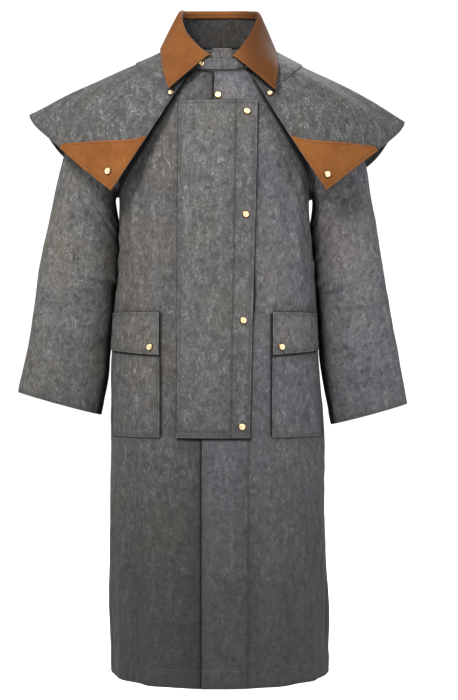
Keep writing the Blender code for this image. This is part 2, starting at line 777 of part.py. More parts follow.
def build_cape():
    stations = [CAPE_STATIONS * j / CAPE_COLUMNS for j in range(CAPE_COLUMNS + 1)]
    add_cloth("cape", [[cape_point(s, t) for s in stations] for t in CAPE_ROWS])
    yoke = [[cape_point(s, t, LAYER) for s in stations] for t in CAPE_ROWS[: YOKE_ROWS + 1]]
    add_cloth("cape_yoke", yoke)
    for side in ("left", "right"):
        rows = []
        for i in range(CORNER_ROWS + 1):
            row = []
            for j in range(CORNER_COLUMNS + 1):
                station = CORNER_REACH * j / CORNER_COLUMNS
                share = corner_share(station, i / CORNER_ROWS)
                if side == "left":
                    station = CAPE_STATIONS - station
                row.append(cape_point(station, share, LAYER))
            rows.append(row)
        add_cloth(f"cape_corner_{side}", rows, "tan", LEATHER, flip=side == "left")
        for name, (reach, share), wall, size in (
            ("cape", CORNER_SNAP[side], LEATHER, 1.0),
            ("collar", COLLAR_SNAP[side], WALL, SMALL_SNAP),
        ):
            station = reach if side == "right" else CAPE_STATIONS - reach
            place = cape_point(station, share, LAYER + wall)
            add_snap(f"snap_{name}_{side}", place, cape_normal(station, share), size)


def main():
    for obj in list(bpy.data.objects):
        bpy.data.objects.remove(obj)
    coat = bpy.data.collections.new("duster_coat")
    bpy.context.scene.collection.children.link(coat)
    build_body()
    build_storm_flap()
    build_pockets()
    build_sleeves()
    build_stand()
    build_collar()
    build_throat_tab()
    build_cape()


main()
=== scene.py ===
"""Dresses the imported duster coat: folded cloth, seams, stitches, leather and brass.

Metres, +Z up, the front faces -Y and the wearer's left is +X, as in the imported
model. Each piece of cloth repeats the form of the solid that it replaces, on a
finer grid, with creases, sewn edges and hems added.
"""

import json
import math

import bpy
import numpy as np
from bpy.props import FloatProperty, FloatVectorProperty, PointerProperty
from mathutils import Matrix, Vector

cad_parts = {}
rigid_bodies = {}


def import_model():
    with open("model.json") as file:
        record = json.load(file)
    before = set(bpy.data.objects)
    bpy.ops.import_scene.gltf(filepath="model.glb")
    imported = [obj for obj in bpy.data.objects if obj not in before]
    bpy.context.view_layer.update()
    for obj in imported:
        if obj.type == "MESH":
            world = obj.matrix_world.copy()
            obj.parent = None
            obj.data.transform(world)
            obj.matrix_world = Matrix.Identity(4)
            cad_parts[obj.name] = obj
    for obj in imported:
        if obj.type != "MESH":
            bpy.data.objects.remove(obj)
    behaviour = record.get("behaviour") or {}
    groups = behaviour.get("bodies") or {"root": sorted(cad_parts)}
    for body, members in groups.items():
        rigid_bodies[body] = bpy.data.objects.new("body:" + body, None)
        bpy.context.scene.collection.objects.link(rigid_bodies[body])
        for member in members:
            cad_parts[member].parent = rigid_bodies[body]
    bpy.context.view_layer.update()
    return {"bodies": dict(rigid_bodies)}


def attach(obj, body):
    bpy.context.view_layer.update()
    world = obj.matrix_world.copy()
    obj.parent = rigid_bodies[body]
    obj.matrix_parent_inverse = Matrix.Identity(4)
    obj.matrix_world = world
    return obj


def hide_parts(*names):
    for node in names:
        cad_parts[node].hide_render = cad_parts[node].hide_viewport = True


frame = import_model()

bl_info = {
    "name": "Duster Coat",
    "version": (1, 0, 0),
    "blender": (4, 5, 0),
    "location": "View3D > Sidebar > Coat",
    "description": "Makes a long caped duster coat in washed canvas and tan leather",
    "category": "Add Mesh",
}

# Main levels of the body, measured down from the neck, and places across the front
HEM = -1.213
POCKET_BOTTOM = -0.743
POCKET_FLAP_BOTTOM = -0.586
POCKET_TOP = -0.504
POCKET_MOUTH = -0.522
UNDERARM = -0.270
SHOULDER_TIP = -0.046
NECK_SEAM = 0.0135
LAP_EDGE_NECK = -0.008
LAP_EDGE_HEM = -0.031
LAP_EDGE_REACH = 0.75
LAP_RISE_END = 0.050
LAP_RISE = 0.040
NECK_LAP_START = -0.075
UNDERLAP_EDGE = 0.045
# From which level up the left front's columns even out, and over how much
EVEN_START = -0.075
EVEN_REACH = 0.05
ARMHOLE_HALF_DEPTH = 0.070
BACK_TILT = 0.64
POCKET_EDGE_RIGHT = -0.1116
POCKET_EDGE_LEFT = 0.1020
# How far a pocket bulges, and how much of a half wave the bulge is from bottom to top
POUCH = 0.0040
POUCH_REACH = 0.8
# How much higher a pocket flap's lower edge is at its outer end
POCKET_FLAP_SLANT = 0.010
POCKET_REACH = 0.93
LAYER = 0.0024
SEAM = 0.0004
# Storm flap: its sewn and free edge at the start and at the end of its length
FLAP_SEWN = (-0.0755, -0.0785)
FLAP_FREE = (0.0740, 0.0580)
FLAP_START = -0.09
FLAP_LENGTH = 0.65
FLAP_RISE_START = -0.070
FLAP_RISE = 0.028
FLAP_TOP_SHARE = 0.7
# How far the storm flap's free edge and lower edge stand up, and over what width that fades
FLAP_EDGE_RISE = 0.0020
FLAP_EDGE_FADE = 0.006
FLAP_HEM_RISE = 0.0032
FLAP_HEM_FADE = 0.009
# Where the painted shadow line beside the storm flap is widest: its middle level and half its length
FLAP_GAPE = -0.47
FLAP_GAPE_REACH = 0.07
# Stitch lines of the storm flap: up from its lower edge, and in from its free edge at
# the start and at the end of its length
FLAP_HEM_STITCH = 0.012
FLAP_FACING = (0.042, 0.036)

# Horizontal sections of the body's inside:
# level, half_width, front_depth, back_depth, centre_x, tilt, side_lift, squareness
TORSO = (
    (HEM, 0.2150, 0.185, 0.174, 0.0020, 0.00, 0.000, 2.10),
    (-1.076, 0.2150, 0.180, 0.170, 0.0003, 0.00, 0.000, 2.12),
    (-0.876, 0.2128, 0.172, 0.163, -0.0038, 0.00, 0.000, 2.15),
    (-0.768, 0.2115, 0.167, 0.158, -0.0022, 0.00, 0.000, 2.18),
    (-0.700, 0.2100, 0.163, 0.155, -0.0035, 0.00, 0.000, 2.20),
    (-0.562, 0.2040, 0.155, 0.146, -0.0085, 0.00, 0.000, 2.25),
    (-0.476, 0.1987, 0.150, 0.140, -0.0067, 0.00, 0.000, 2.28),
    (-0.416, 0.1926, 0.149, 0.138, -0.0048, 0.00, 0.000, 2.30),
    (-0.276, 0.1880, 0.151, 0.141, -0.0095, 0.00, 0.000, 2.30),
    (-0.200, 0.1960, 0.149, 0.140, -0.0085, 0.00, 0.000, 2.30),
    (-0.100, 0.2130, 0.133, 0.123, -0.0050, 0.05, 0.000, 2.30),
    (-0.060, 0.2170, 0.125, 0.106, -0.0030, 0.12, 0.000, 2.30),
    (-0.040, 0.2050, 0.119, 0.095, -0.0020, 0.20, 0.001, 2.30),
    (-0.020, 0.1680, 0.114, 0.084, 0.0000, 0.32, 0.0030, 2.25),
    (0.000, 0.1220, 0.110, 0.078, 0.0010, 0.42, 0.0045, 2.15),
    (NECK_SEAM, 0.0840, 0.105, 0.072, 0.0020, 0.53, 0.0080, 2.45),
)

# How far forward of the middle the side seam runs: level, seam_y
SIDE_SEAM = ((HEM, -0.048), (-0.80, -0.046), (-0.50, -0.036), (UNDERARM, 0.0))

# Soft upright folds of the body:
# angle_top, angle_bottom (degrees), level_top, level_bottom, half_width (degrees), height
BODY_FOLDS = (
    (-128, -124, -0.78, HEM - 0.2, 9, 0.0085),
    (-146, -150, -0.72, HEM - 0.2, 10, 0.0055),
    (-62, -58, -0.82, HEM - 0.2, 11, 0.0060),
    (-38, -36, -0.90, HEM - 0.2, 9, 0.0050),
    (24, 28, -0.62, HEM - 0.2, 12, 0.0080),
    (62, 60, -0.50, HEM - 0.2, 12, 0.0070),
    (104, 108, -0.55, HEM - 0.2, 13, 0.0080),
    (150, 148, -0.60, HEM - 0.2, 12, 0.0075),
    (-30, -36, -0.16, -0.46, 9, 0.0050),
    (-148, -142, -0.18, -0.44, 9, 0.0045),
)

# Creases of the body, each placed on a round 0.19 m from the middle:
# angle (degrees), level, half_length, half_width, turn (degrees up from level), bend, height
BODY_ROUND = 0.19
# The creases and the front's facing line begin below this level
CREASES_START = -0.13
BODY_CREASES = (
    # wearer's right front
    (-152, -0.285, 0.075, 0.0080, 62, 2.0, 0.0030),
    (-161, -0.330, 0.085, 0.0090, 50, 1.6, 0.0028),
    (-143, -0.345, 0.060, 0.0075, 74, 1.0, 0.0020),
    (-168, -0.395, 0.060, 0.0085, 32, 1.2, 0.0024),
    (-127, -0.300, 0.120, 0.0120, 88, 0.3, 0.0016),
    (-136, -0.440, 0.055, 0.0080, 14, -0.8, 0.0014),
    (-158, -0.470, 0.050, 0.0075, -12, 0.8, 0.0014),
    (-118, -0.475, 0.040, 0.0070, -20, 0.5, 0.0010),
    (-126, -0.640, 0.110, 0.0120, 82, -0.5, 0.0016),
    (-150, -0.660, 0.060, 0.0090, 70, 0.8, 0.0014),
    (-166, -0.720, 0.090, 0.0110, 96, 0.4, 0.0018),
    (-111, -0.870, 0.150, 0.0130, 90, 0.2, 0.0018),
    (-136, -0.840, 0.120, 0.0110, 84, -0.3, 0.0022),
    (-118, -1.040, 0.130, 0.0120, 93, 0.2, 0.0020),
    (-139, -1.080, 0.110, 0.0110, 88, -0.3, 0.0024),
    (-163, -0.930, 0.170, 0.0140, 87, 0.2, 0.0028),
    (-172, -1.070, 0.120, 0.0120, 92, 0.0, 0.0024),
    (-106, -1.120, 0.070, 0.0100, 82, 0.4, 0.0014),
    # wearer's left front
    (-27, -0.280, 0.080, 0.0085, 118, -2.0, 0.0030),
    (-18, -0.335, 0.080, 0.0085, 132, -1.5, 0.0026),
    (-38, -0.350, 0.070, 0.0080, 104, -1.0, 0.0020),
    (-12, -0.400, 0.060, 0.0080, 148, -1.2, 0.0022),
    (-54, -0.310, 0.130, 0.0120, 92, -0.3, 0.0016),
    (-45, -0.450, 0.055, 0.0080, -10, 0.9, 0.0014),
    (-22, -0.480, 0.045, 0.0075, 14, -0.6, 0.0013),
    (-64, -0.530, 0.050, 0.0080, 100, 0.4, 0.0012),
    (-56, -0.650, 0.110, 0.0120, 97, 0.5, 0.0016),
    (-30, -0.690, 0.070, 0.0100, 104, -0.8, 0.0015),
    (-14, -0.740, 0.080, 0.0110, 86, -0.4, 0.0018),
    (-70, -0.830, 0.110, 0.0120, 92, 0.2, 0.0016),
    (-48, -0.900, 0.140, 0.0130, 95, 0.3, 0.0022),
    (-66, -1.060, 0.120, 0.0120, 86, -0.2, 0.0018),
    (-45, -1.110, 0.100, 0.0110, 92, 0.2, 0.0022),
    (-20, -0.960, 0.170, 0.0140, 93, -0.2, 0.0028),
    (-9, -1.090, 0.110, 0.0120, 88, 0.0, 0.0022),
    # across the storm flap and under it
    (-97, -0.230, 0.110, 0.0130, 91, 0.2, 0.0012),
    (-84, -0.360, 0.100, 0.0120, 87, -0.3, 0.0013),
    (-101, -0.430, 0.090, 0.0110, 95, 0.2, 0.0013),
    (-92, -0.560, 0.070, 0.0110, 84, 0.4, 0.0010),
    (-104, -0.650, 0.080, 0.0110, 90, -0.2, 0.0012),
    # back
    (38, -0.300, 0.085, 0.0090, 56, 1.6, 0.0030),
    (27, -0.360, 0.075, 0.0085, 42, 1.2, 0.0026),
    (50, -0.380, 0.080, 0.0100, 72, 0.8, 0.0022),
    (140, -0.295, 0.080, 0.0090, 126, -1.6, 0.0030),
    (152, -0.350, 0.080, 0.0090, 138, -1.3, 0.0026),
    (128, -0.390, 0.075, 0.0100, 106, -0.8, 0.0022),
    (90, -0.330, 0.110, 0.0130, 92, 0.3, 0.0016),
    (74, -0.460, 0.070, 0.0090, 8, 0.8, 0.0018),
    (102, -0.500, 0.080, 0.0090, -9, -0.7, 0.0018),
    (122, -0.455, 0.060, 0.0085, 12, 0.6, 0.0016),
    (52, -0.510, 0.060, 0.0085, -14, 0.5, 0.0016),
    (34, -0.470, 0.050, 0.0080, 20, 0.8, 0.0015),
    (145, -0.515, 0.060, 0.0085, -18, 0.5, 0.0015),
    (88, -0.700, 0.150, 0.0130, 91, 0.2, 0.0022),
    (118, -0.760, 0.140, 0.0120, 87, -0.3, 0.0022),
    (66, -0.800, 0.130, 0.0120, 93, 0.3, 0.0022),
    (40, -0.780, 0.150, 0.0130, 88, 0.2, 0.0024),
    (146, -0.820, 0.140, 0.0130, 92, -0.2, 0.0024),
    (16, -0.880, 0.150, 0.0120, 90, 0.1, 0.0024),
    (165, -0.900, 0.160, 0.0120, 91, 0.1, 0.0024),
    (78, -1.020, 0.160, 0.0130, 88, -0.2, 0.0026),
    (99, -1.060, 0.120, 0.0120, 92, 0.2, 0.0022),
    (52, -1.040, 0.150, 0.0130, 90, 0.2, 0.0026),
    (128, -1.030, 0.150, 0.0130, 89, -0.2, 0.0026),
    (30, -1.090, 0.110, 0.0120, 92, 0.0, 0.0022),
    (155, -1.090, 0.110, 0.0120, 88, 0.0, 0.0022),
)

# Sleeves, outer faces of the cloth as seen from the front:
# station, outer_x, outer_z, inner_x, inner_z, half_depth, middle_y
SLEEVE_LEFT = (
    (1, 0.2240, -0.0535, 0.1845, -0.2715, 0.072, 0.000),
    (2, 0.2500, -0.0800, 0.1880, -0.2810, 0.074, -0.001),
    (3, 0.2730, -0.1250, 0.1870, -0.3000, 0.075, -0.003),
    (4, 0.2890, -0.1900, 0.1830, -0.3350, 0.074, -0.005),
    (5, 0.3036, -0.2716, 0.1850, -0.3780, 0.072, -0.008),
    (6, 0.3180, -0.3620, 0.1900, -0.4420, 0.068, -0.012),
    (7, 0.3300, -0.4400, 0.1955, -0.5000, 0.065, -0.016),
    (8, 0.3460, -0.5280, 0.1995, -0.5720, 0.060, -0.022),
    (9, 0.3590, -0.5990, 0.2090, -0.6450, 0.052, -0.027),
    (10, 0.3732, -0.6816, 0.2252, -0.7246, 0.044, -0.030),
)
SLEEVE_RIGHT = (
    (1, -0.2330, -0.0535, -0.2060, -0.2715, 0.072, 0.000),
    (2, -0.2620, -0.0800, -0.2080, -0.2810, 0.074, -0.001),
    (3, -0.2880, -0.1250, -0.2050, -0.3000, 0.075, -0.003),
    (4, -0.3080, -0.1860, -0.1990, -0.3350, 0.074, -0.005),
    (5, -0.3240, -0.2520, -0.1980, -0.3720, 0.072, -0.008),
    (6, -0.3430, -0.3440, -0.1995, -0.4280, 0.068, -0.012),
    (7, -0.3570, -0.4150, -0.2070, -0.4750, 0.065, -0.016),
    (8, -0.3666, -0.4990, -0.2145, -0.5450, 0.060, -0.022),
    (9, -0.3804, -0.5760, -0.2205, -0.6200, 0.052, -0.027),
    (10, -0.3968, -0.6590, -0.2350, -0.7060, 0.044, -0.030),
)
# How far the inner side of a sleeve lies behind its outer side
SLEEVE_TURN = 0.040
SLEEVE_TURN_END = 5

# Wrinkles of a sleeve, as in the solids: along (0 top to 1 cuff), around (degrees from
# the outer side over the front), half_along, half_around (degrees), slant, height
SLEEVE_FOLDS = (
    (0.46, 95, 0.050, 60, 0.10, 0.0045),
    (0.58, 110, 0.045, 55, 0.12, 0.0040),
    (0.70, 80, 0.045, 50, -0.10, 0.0030),
    (0.34, 130, 0.050, 45, 0.14, 0.0040),
    (0.52, 265, 0.050, 60, -0.10, 0.0045),
    (0.64, 250, 0.045, 55, -0.08, 0.0035),
)

# Creases of a sleeve: distance down from the top, around (degrees), half_length,
# half_width, turn (degrees from round the arm towards the cuff), bend, height
SLEEVE_ROUND = 0.066
SLEEVE_LENGTH = 0.64
SLEEVE_CREASES = (
    (0.245, 120, 0.070, 0.0075, 24, 1.5, 0.0030),
    (0.275, 100, 0.060, 0.0070, 30, 2.0, 0.0026),
    (0.305, 135, 0.065, 0.0070, 14, 1.0, 0.0030),
    (0.335, 105, 0.060, 0.0065, 20, -1.5, 0.0026),
    (0.365, 140, 0.055, 0.0070, -8, 1.5, 0.0026),
    (0.395, 110, 0.060, 0.0075, -16, 1.0, 0.0024),
    (0.440, 90, 0.055, 0.0080, -28, 1.0, 0.0020),
    (0.500, 120, 0.050, 0.0080, -20, -1.0, 0.0016),
    (0.200, 150, 0.060, 0.0080, 38, 1.5, 0.0026),
    (0.160, 60, 0.060, 0.0090, 60, 1.0, 0.0016),
    (0.300, 40, 0.080, 0.0100, 78, 0.6, 0.0014),
    (0.430, 35, 0.080, 0.0100, 84, -0.6, 0.0014),
    (0.545, 60, 0.050, 0.0090, 70, 0.8, 0.0014),
    (0.225, 215, 0.060, 0.0080, -30, -1.5, 0.0026),
    (0.270, 240, 0.065, 0.0075, -20, -1.2, 0.0030),
    (0.310, 225, 0.060, 0.0070, -10, 1.2, 0.0028),
    (0.350, 250, 0.060, 0.0075, 6, -1.2, 0.0026),
    (0.390, 230, 0.060, 0.0080, 18, 1.2, 0.0022),
    (0.450, 265, 0.060, 0.0085, 30, 0.6, 0.0018),
    (0.300, 320, 0.090, 0.0100, -80, 0.5, 0.0016),
    (0.480, 310, 0.080, 0.0100, -84, 0.5, 0.0014),
)

# The fold line of the collar, by angle round the neck from the wearer's left:
# angle (degrees), x, y, z
FOLD_LINE = (
    (-74, 0.0297, -0.1065, -0.0104),
    (-52, 0.0475, -0.0860, 0.0130),
    (-28, 0.0690, -0.0460, 0.0530),
    (0, 0.0800, 0.0000, 0.0925),
    (45, 0.0620, 0.0420, 0.1070),
    (90, 0.0010, 0.0630, 0.1120),
    (135, -0.0600, 0.0420, 0.1070),
    (180, -0.0780, 0.0000, 0.0960),
    (208, -0.0690, -0.0460, 0.0530),
    (232, -0.0433, -0.0860, 0.0140),
    (259, -0.0194, -0.1065, -0.0085),
)
# The free edge of the collar leaf, by the same angles
LEAF_EDGE = (
    (-74, 0.1074, -0.1570, -0.0828),
    (-52, 0.1140, -0.1220, -0.0400),
    (-28, 0.1135, -0.0600, -0.0020),
    (0, 0.1095, 0.0040, 0.0270),
    (45, 0.0890, 0.0790, 0.0390),
    (90, 0.0010, 0.1120, 0.0420),
    (135, -0.0870, 0.0790, 0.0390),
    (180, -0.1140, 0.0040, 0.0280),
    (208, -0.1130, -0.0610, 0.0010),
    (232, -0.1060, -0.1220, -0.0400),
    (259, -0.0948, -0.1570, -0.0805),
)
COLLAR_LOW = math.radians(FOLD_LINE[0][0])
COLLAR_HIGH = math.radians(FOLD_LINE[-1][0])
LEAF_BULGE = 0.001
LEAF_START = 0.0022
LEAF_ROWS = 8
# The collar's band inside the neck: its width, how far on the easing to that width its
# ends are, and how far the easing would go on over the collar's whole length
INNER_BAND = 0.012
INNER_BAND_END = 0.25
INNER_BAND_GROWTH = 5.6
# Its rows: in from the fold as a share of wall and gap, and down as a share of its width
INNER_ROWS = ((1.5, 1.0), (1.3, 0.4))
# Rows at the fold: in from it by such a share and up, then out from it and up
UNDER_FOLD = (0.6, 0.0016)
OVER_FOLD = (0.0012, 0.0010)
STAND_GAP = 0.0013
NECKBAND_TOP = 0.006
NECKBAND_SIDE = -0.0135
NECKBAND_STEP = math.radians(4.5)
NECKBAND_LEAN = 0.0005
# The neckband's ends, and half the width of its step by the collar's ends, in degrees
NECKBAND_START = -86.9
NECKBAND_END = 272.8
NECKBAND_SLOPE = 0.35

# Throat tab
TAB_RIGHT_END = -0.0400
TAB_LEFT_END = 0.0460
TAB_BOTTOM = -0.0380
TAB_TOP = -0.0160
TAB_LIFT = 0.0035
# How low the tab may reach, as a share of the collar stand's height
TAB_LOWEST = 0.05

# The cape, station by station from the wearer's right front round the back:
# station, neck_angle (degrees), middle x, y, z, hem x, y, z
CAPE = (
    (0, 238, -0.1180, -0.1540, -0.144, -0.2035, -0.140, -0.2720),
    (1, 222, -0.1600, -0.1400, -0.108, -0.2600, -0.116, -0.2260),
    (2, 206, -0.1950, -0.1120, -0.076, -0.3045, -0.078, -0.1850),
    (3, 194, -0.2200, -0.0620, -0.050, -0.3620, -0.030, -0.1340),
    (4, 180, -0.2280, -0.0050, -0.0385, -0.3780, 0.008, -0.1070),
    (5, 164, -0.2190, 0.0570, -0.045, -0.3560, 0.056, -0.1330),
    (6, 146, -0.1880, 0.1080, -0.068, -0.3060, 0.112, -0.1900),
    (7, 120, -0.1080, 0.1480, -0.096, -0.1780, 0.178, -0.2600),
    (8, 90, 0.0000, 0.1600, -0.110, 0.0000, 0.198, -0.2920),
    (9, 60, 0.1080, 0.1480, -0.096, 0.1780, 0.178, -0.2640),
    (10, 34, 0.1890, 0.1090, -0.067, 0.3040, 0.112, -0.1980),
    (11, 16, 0.2190, 0.0570, -0.051, 0.3500, 0.056, -0.1450),
    (12, 0, 0.2260, -0.0050, -0.0440, 0.3705, 0.008, -0.1210),
    (13, -14, 0.2180, -0.0620, -0.057, 0.3560, -0.030, -0.1460),
    (14, -26, 0.1950, -0.1120, -0.081, 0.3050, -0.078, -0.1900),
    (15, -42, 0.1620, -0.1400, -0.110, 0.2600, -0.116, -0.2260),
    (16, -58, 0.1190, -0.1540, -0.144, 0.2043, -0.140, -0.2714),
)
CAPE_STATIONS = 16
# Where the cape starts: share of the collar stand's height, and gap to its outer face
CAPE_NECK_SHARE = 0.09
CAPE_NECK_GAP = 0.0008
YOKE_SHARE = 0.28
CORNER_REACH = 2.05
CORNER_TOP = 0.60
CORNER_TOP_OUTER = 0.965

# Creases of the cape, all outwards: station, share, half_length (stations),
# half_width (share), turn (stations for a whole share), height
CAPE_CREASES = (
    (0.8, 0.55, 0.9, 0.10, 0.8, 0.0016),
    (2.6, 0.62, 0.34, 0.42, 0.5, 0.0030),
    (3.5, 0.78, 0.26, 0.30, 0.3, 0.0026),
    (4.7, 0.70, 0.34, 0.38, -0.2, 0.0030),
    (5.6, 0.80, 0.30, 0.30, 0.2, 0.0030),
    (6.5, 0.72, 0.38, 0.36, -0.2, 0.0036),
    (7.3, 0.84, 0.26, 0.28, 0.1, 0.0028),
    (8.3, 0.74, 0.34, 0.34, 0.1, 0.0034),
    (9.2, 0.80, 0.30, 0.30, -0.1, 0.0030),
    (10.1, 0.70, 0.38, 0.36, 0.2, 0.0036),
    (11.2, 0.80, 0.28, 0.30, 0.2, 0.0028),
    (12.4, 0.72, 0.34, 0.36, -0.3, 0.0030),
    (13.5, 0.66, 0.32, 0.40, -0.5, 0.0028),
    (15.2, 0.52, 0.9, 0.10, -0.8, 0.0016),
)

# Ring snap, half of its section: radius, height
SNAP_PROFILE = (
    (0.0, 0.0021), (0.0016, 0.0021), (0.0026, 0.0019), (0.0031, 0.0017),
    (0.0035, 0.0020), (0.0040, 0.0027), (0.0047, 0.0031), (0.0055, 0.0030),
    (0.0063, 0.0024), (0.0070, 0.0015), (0.0075, 0.0007), (0.0075, 0.0),
)
SNAP_STEPS = 40
SNAP_GAP = 0.0003

# Snaps of the storm flap: x, level
FLAP_SNAPS = ((0.0535, -0.1165), (0.0505, -0.3180), (0.0465, -0.5200), (0.0438, -0.7215))
FRONT_SNAP = (-0.0010, -0.0795)
# Snap of a pocket flap: level, and share from the pocket's inner edge
POCKET_SNAP_LEVEL = -0.5705
POCKET_SNAP_SHARE = 0.113
POCKET_FLAP_STAND = 0.0012
# Snaps of the cape's front: stations in from the front edge, share
CORNER_SNAP = {"right": (0.353, 0.921), "left": (0.250, 0.927)}
COLLAR_SNAP = {"right": (0.153, 0.284), "left": (0.234, 0.297)}
# Size of the collar's and the throat tab's snaps beside the others
SMALL_SNAP = 0.8
# Snap of the throat tab: in from its end, and level
TAB_SNAP_INSET = 0.0095
TAB_SNAP_LEVEL = -0.0245

# Distances of stitch lines from an edge, narrow ones on the small pieces
EDGE_STITCH = 0.006
HEM_STITCH = 0.034
FACING_STITCH = 0.088
CUFF_STITCH = 0.028
CAPE_STITCH = 0.012
NARROW_STITCH = 0.004
# How far a stitch line stops before the ends of its border
SEAM_TRIM = 0.004
EDGE_TRIM = 0.006
LEAF_TRIM = 0.008
CAPE_TRIM = 0.010
TAB_TRIM = 0.005
CORNER_TRIM = 0.014
# How much thicker the doubled cloth of narrow edges and facings is
FACING_THICK = 0.0003
EDGE_THICK = 0.0002
NARROW_THICK = 0.0001
# Painted shade on the inner side of a sleeve, which faces the body: degrees from its middle, and over how
# many it fades
SLEEVE_PAINTED_SHADE = 34
SLEEVE_PAINTED_SHADE_FADE = 14
# Painted shade inside the collar stand: how dark, behind which y, and over how far it fades
STAND_PAINTED_SHADE = 0.62
STAND_PAINTED_SHADE_START = -0.07
STAND_PAINTED_SHADE_FADE = 0.01
# Painted shade on the cloth beside the lap, where the under front turns from the light: how dark, and over
# how far it fades
LAP_PAINTED_SHADE = 0.50
LAP_PAINTED_SHADE_FADE = 0.05
# How far from a piece lying on the cloth its painted shadow line is looked for
COVER_REACH = 0.05
# How far in from an edge the material is told of it
EDGE_REACH = 0.05
# How much fainter the painted shade line in a sewn groove is than the painted shadow at a gap, as a distance
GROOVE = 0.0034
# The same for the painted shadow where a piece lies close: the storm flap's seam and free edge, and a pocket
CLOSE_SEAM = 0.0035
CLOSE_EDGE = 0.0018
CLOSE_POCKET = 0.0030
# How far out of reach a place is counted that a painted shadow line must leave alone
FAR_OFF = 1.0
# Share of the wall by which the outer face is drawn in at its edges
EDGE_ROUNDING = 0.33
# Places of the grid beside a stitch line, and in from an edge
NEAR_LINE = (-0.003, -0.0011, 0.0, 0.0011, 0.003)
NEAR_EDGE = (0.0, 0.0008, 0.0025, 0.0045, 0.0058, 0.0066, 0.0085, 0.0120)
# The same across the facing of the wearer's left front, in from its edge
ACROSS_FACING = (
    0.02, 0.03, 0.04, 0.05, 0.06, 0.07, 0.08,
    0.0855, 0.0870, FACING_STITCH, 0.0890, 0.0905, 0.096,
)
# Longest step of a pocket's grid, up its height
POCKET_GRID = 0.0062

# What the canvas is multiplied by in each piece, as worn and lit: besides wear, painted light and shade,
# which make whole pieces lighter, darker, warmer or cooler as they are lit
CANVAS_TINTS = {
    "canvas_body": (1.0, 1.0, 1.0),
    "canvas_stand": (0.90, 0.84, 0.80),
    "canvas_cape": (0.85, 0.85, 0.85),
    "canvas_sleeve": (1.30, 1.27, 1.20),
    "canvas_warm": (1.12, 1.08, 1.01),
    "canvas_cool": (1.28, 1.26, 1.40),
    "canvas_flap": (1.06, 1.06, 1.08),
}
# Tan leather: its shade, and how light its side on the wearer's left stays under the painted shade that
# darkens that side
TAN_SHADES = {"tan_collar": (0.82, 0.22), "tan_corner": (1.0, 1.0)}

CAMERA_PLACE = (0.02, -3.0, -0.576)
CAMERA_LENS = 77.14
CAMERA_SENSOR = 36.0
# Studio lamps: name, place, size, power, colour
LAMPS = (
    ("key", (-0.9, -1.9, 1.2), 0.8, 82.0, (1.0, 0.975, 0.945)),
    ("fill", (2.2, -2.2, 0.8), 1.2, 34.0, (0.90, 0.95, 1.0)),
    ("back", (0.9, 2.8, 2.2), 1.4, 60.0, (1.0, 1.0, 1.0)),
)
LAMPS_AIM = (0.0, 0.0, -0.2)
STUDIO_STRENGTH = 0.64
STUDIO_EXPOSURE = 0.95
FLOOR_REACH = 14.0
FLOOR_LEVEL = -1.40

smooth_noise = np.random.default_rng(7).uniform(-1, 1, (97, 89))


def table_at(table, key):
    """Each column of a table at these keys, along a smooth curve through its rows."""
    rows = np.array(table, dtype=float)
    keys, values = rows[:, 0], rows[:, 1:]
    last = len(keys) - 1
    before = np.maximum(np.arange(last + 1) - 1, 0)
    after = np.minimum(np.arange(last + 1) + 1, last)
    slopes = (values[after] - values[before]) / (keys[after] - keys[before])[:, None]
    key = np.clip(np.asarray(key, dtype=float), keys[0], keys[-1])
    i = np.clip(np.searchsorted(keys[1:], key), 0, last - 1)
    step = (keys[i + 1] - keys[i])[..., None]
    u = (key - keys[i])[..., None] / step
    start, end = values[i], values[i + 1]
    leave, arrive = slopes[i] * step, slopes[i + 1] * step
    cubic = 2 * start - 2 * end + leave + arrive
    square = 3 * end - 3 * start - 2 * leave - arrive
    return np.moveaxis(((cubic * u + square) * u + leave) * u + start, -1, 0)


def ease(x):
    x = np.clip(x, 0.0, 1.0)
    return x * x * (3 - 2 * x)


def bell(x):
    return np.clip(1 - np.square(x), 0.0, None) ** 2


def signed_power(value, power):
    return np.sign(value) * np.abs(value) ** power


def dot(a, b):
    return np.sum(a * b, axis=-1, keepdims=True)


def unit(vectors):
    return vectors / np.maximum(np.linalg.norm(vectors, axis=-1, keepdims=True), 1e-12)


def undulation(u, v, size, seed=0):
    """Soft irregular waves between -1 and 1, about this size in metres."""
    u = np.asarray(u) / size + 13.7 * seed + 200
    v = np.asarray(v) / size + 7.3 * seed + 200
    i, j = np.floor(u).astype(int), np.floor(v).astype(int)
    a, b = ease(u - i), ease(v - j)
    rows, columns = smooth_noise.shape
    i, j, i2, j2 = i % rows, j % columns, (i + 1) % rows, (j + 1) % columns
    low = smooth_noise[i, j] * (1 - a) + smooth_noise[i2, j] * a
    high = smooth_noise[i, j2] * (1 - a) + smooth_noise[i2, j2] * a
    return low * (1 - b) + high * b


def crease(u, v, half_length, half_width, turn, bend, height):
    """A ridge with a shallow trough beside it, at u, v from its middle."""
    turn = math.radians(turn)
    along = u * math.cos(turn) + v * math.sin(turn)
    off = -u * math.sin(turn) + v * math.cos(turn) + bend * along**2
    ridge = np.exp(-((off / half_width) ** 2))
    trough = np.exp(-(((off - 1.8 * half_width) / (1.1 * half_width)) ** 2))
    return height * (ridge - 0.55 * trough) * bell(along / half_length)


def sewn(distance, at, thick=0.0004):
    """The doubled cloth between an edge and its stitch line, with the pulled-in line."""
    doubled = thick * (1 - ease((distance - at) / 0.0025))
    line = 0.0006 * np.exp(-(((distance - at) / 0.0011) ** 2))
    return doubled - line


def rolled(distance):
    """Cloth that turns in a little at a seam."""
    return -0.0007 * np.exp(-((distance / 0.0028) ** 2))


def body_fold(level, angle):
    degrees = np.degrees(angle)
    total = np.zeros(np.broadcast(level, angle).shape)
    for at_top, at_bottom, top, bottom, half_width, height in BODY_FOLDS:
        down = (top - level) / (top - bottom)
        inside = (down > 0) & (down < 1)
        middle = at_top + (at_bottom - at_top) * down
        off = (degrees - middle + 180) % 360 - 180
        total += np.where(inside, height * bell(off / half_width) * np.sin(np.pi * down), 0.0)
    return total


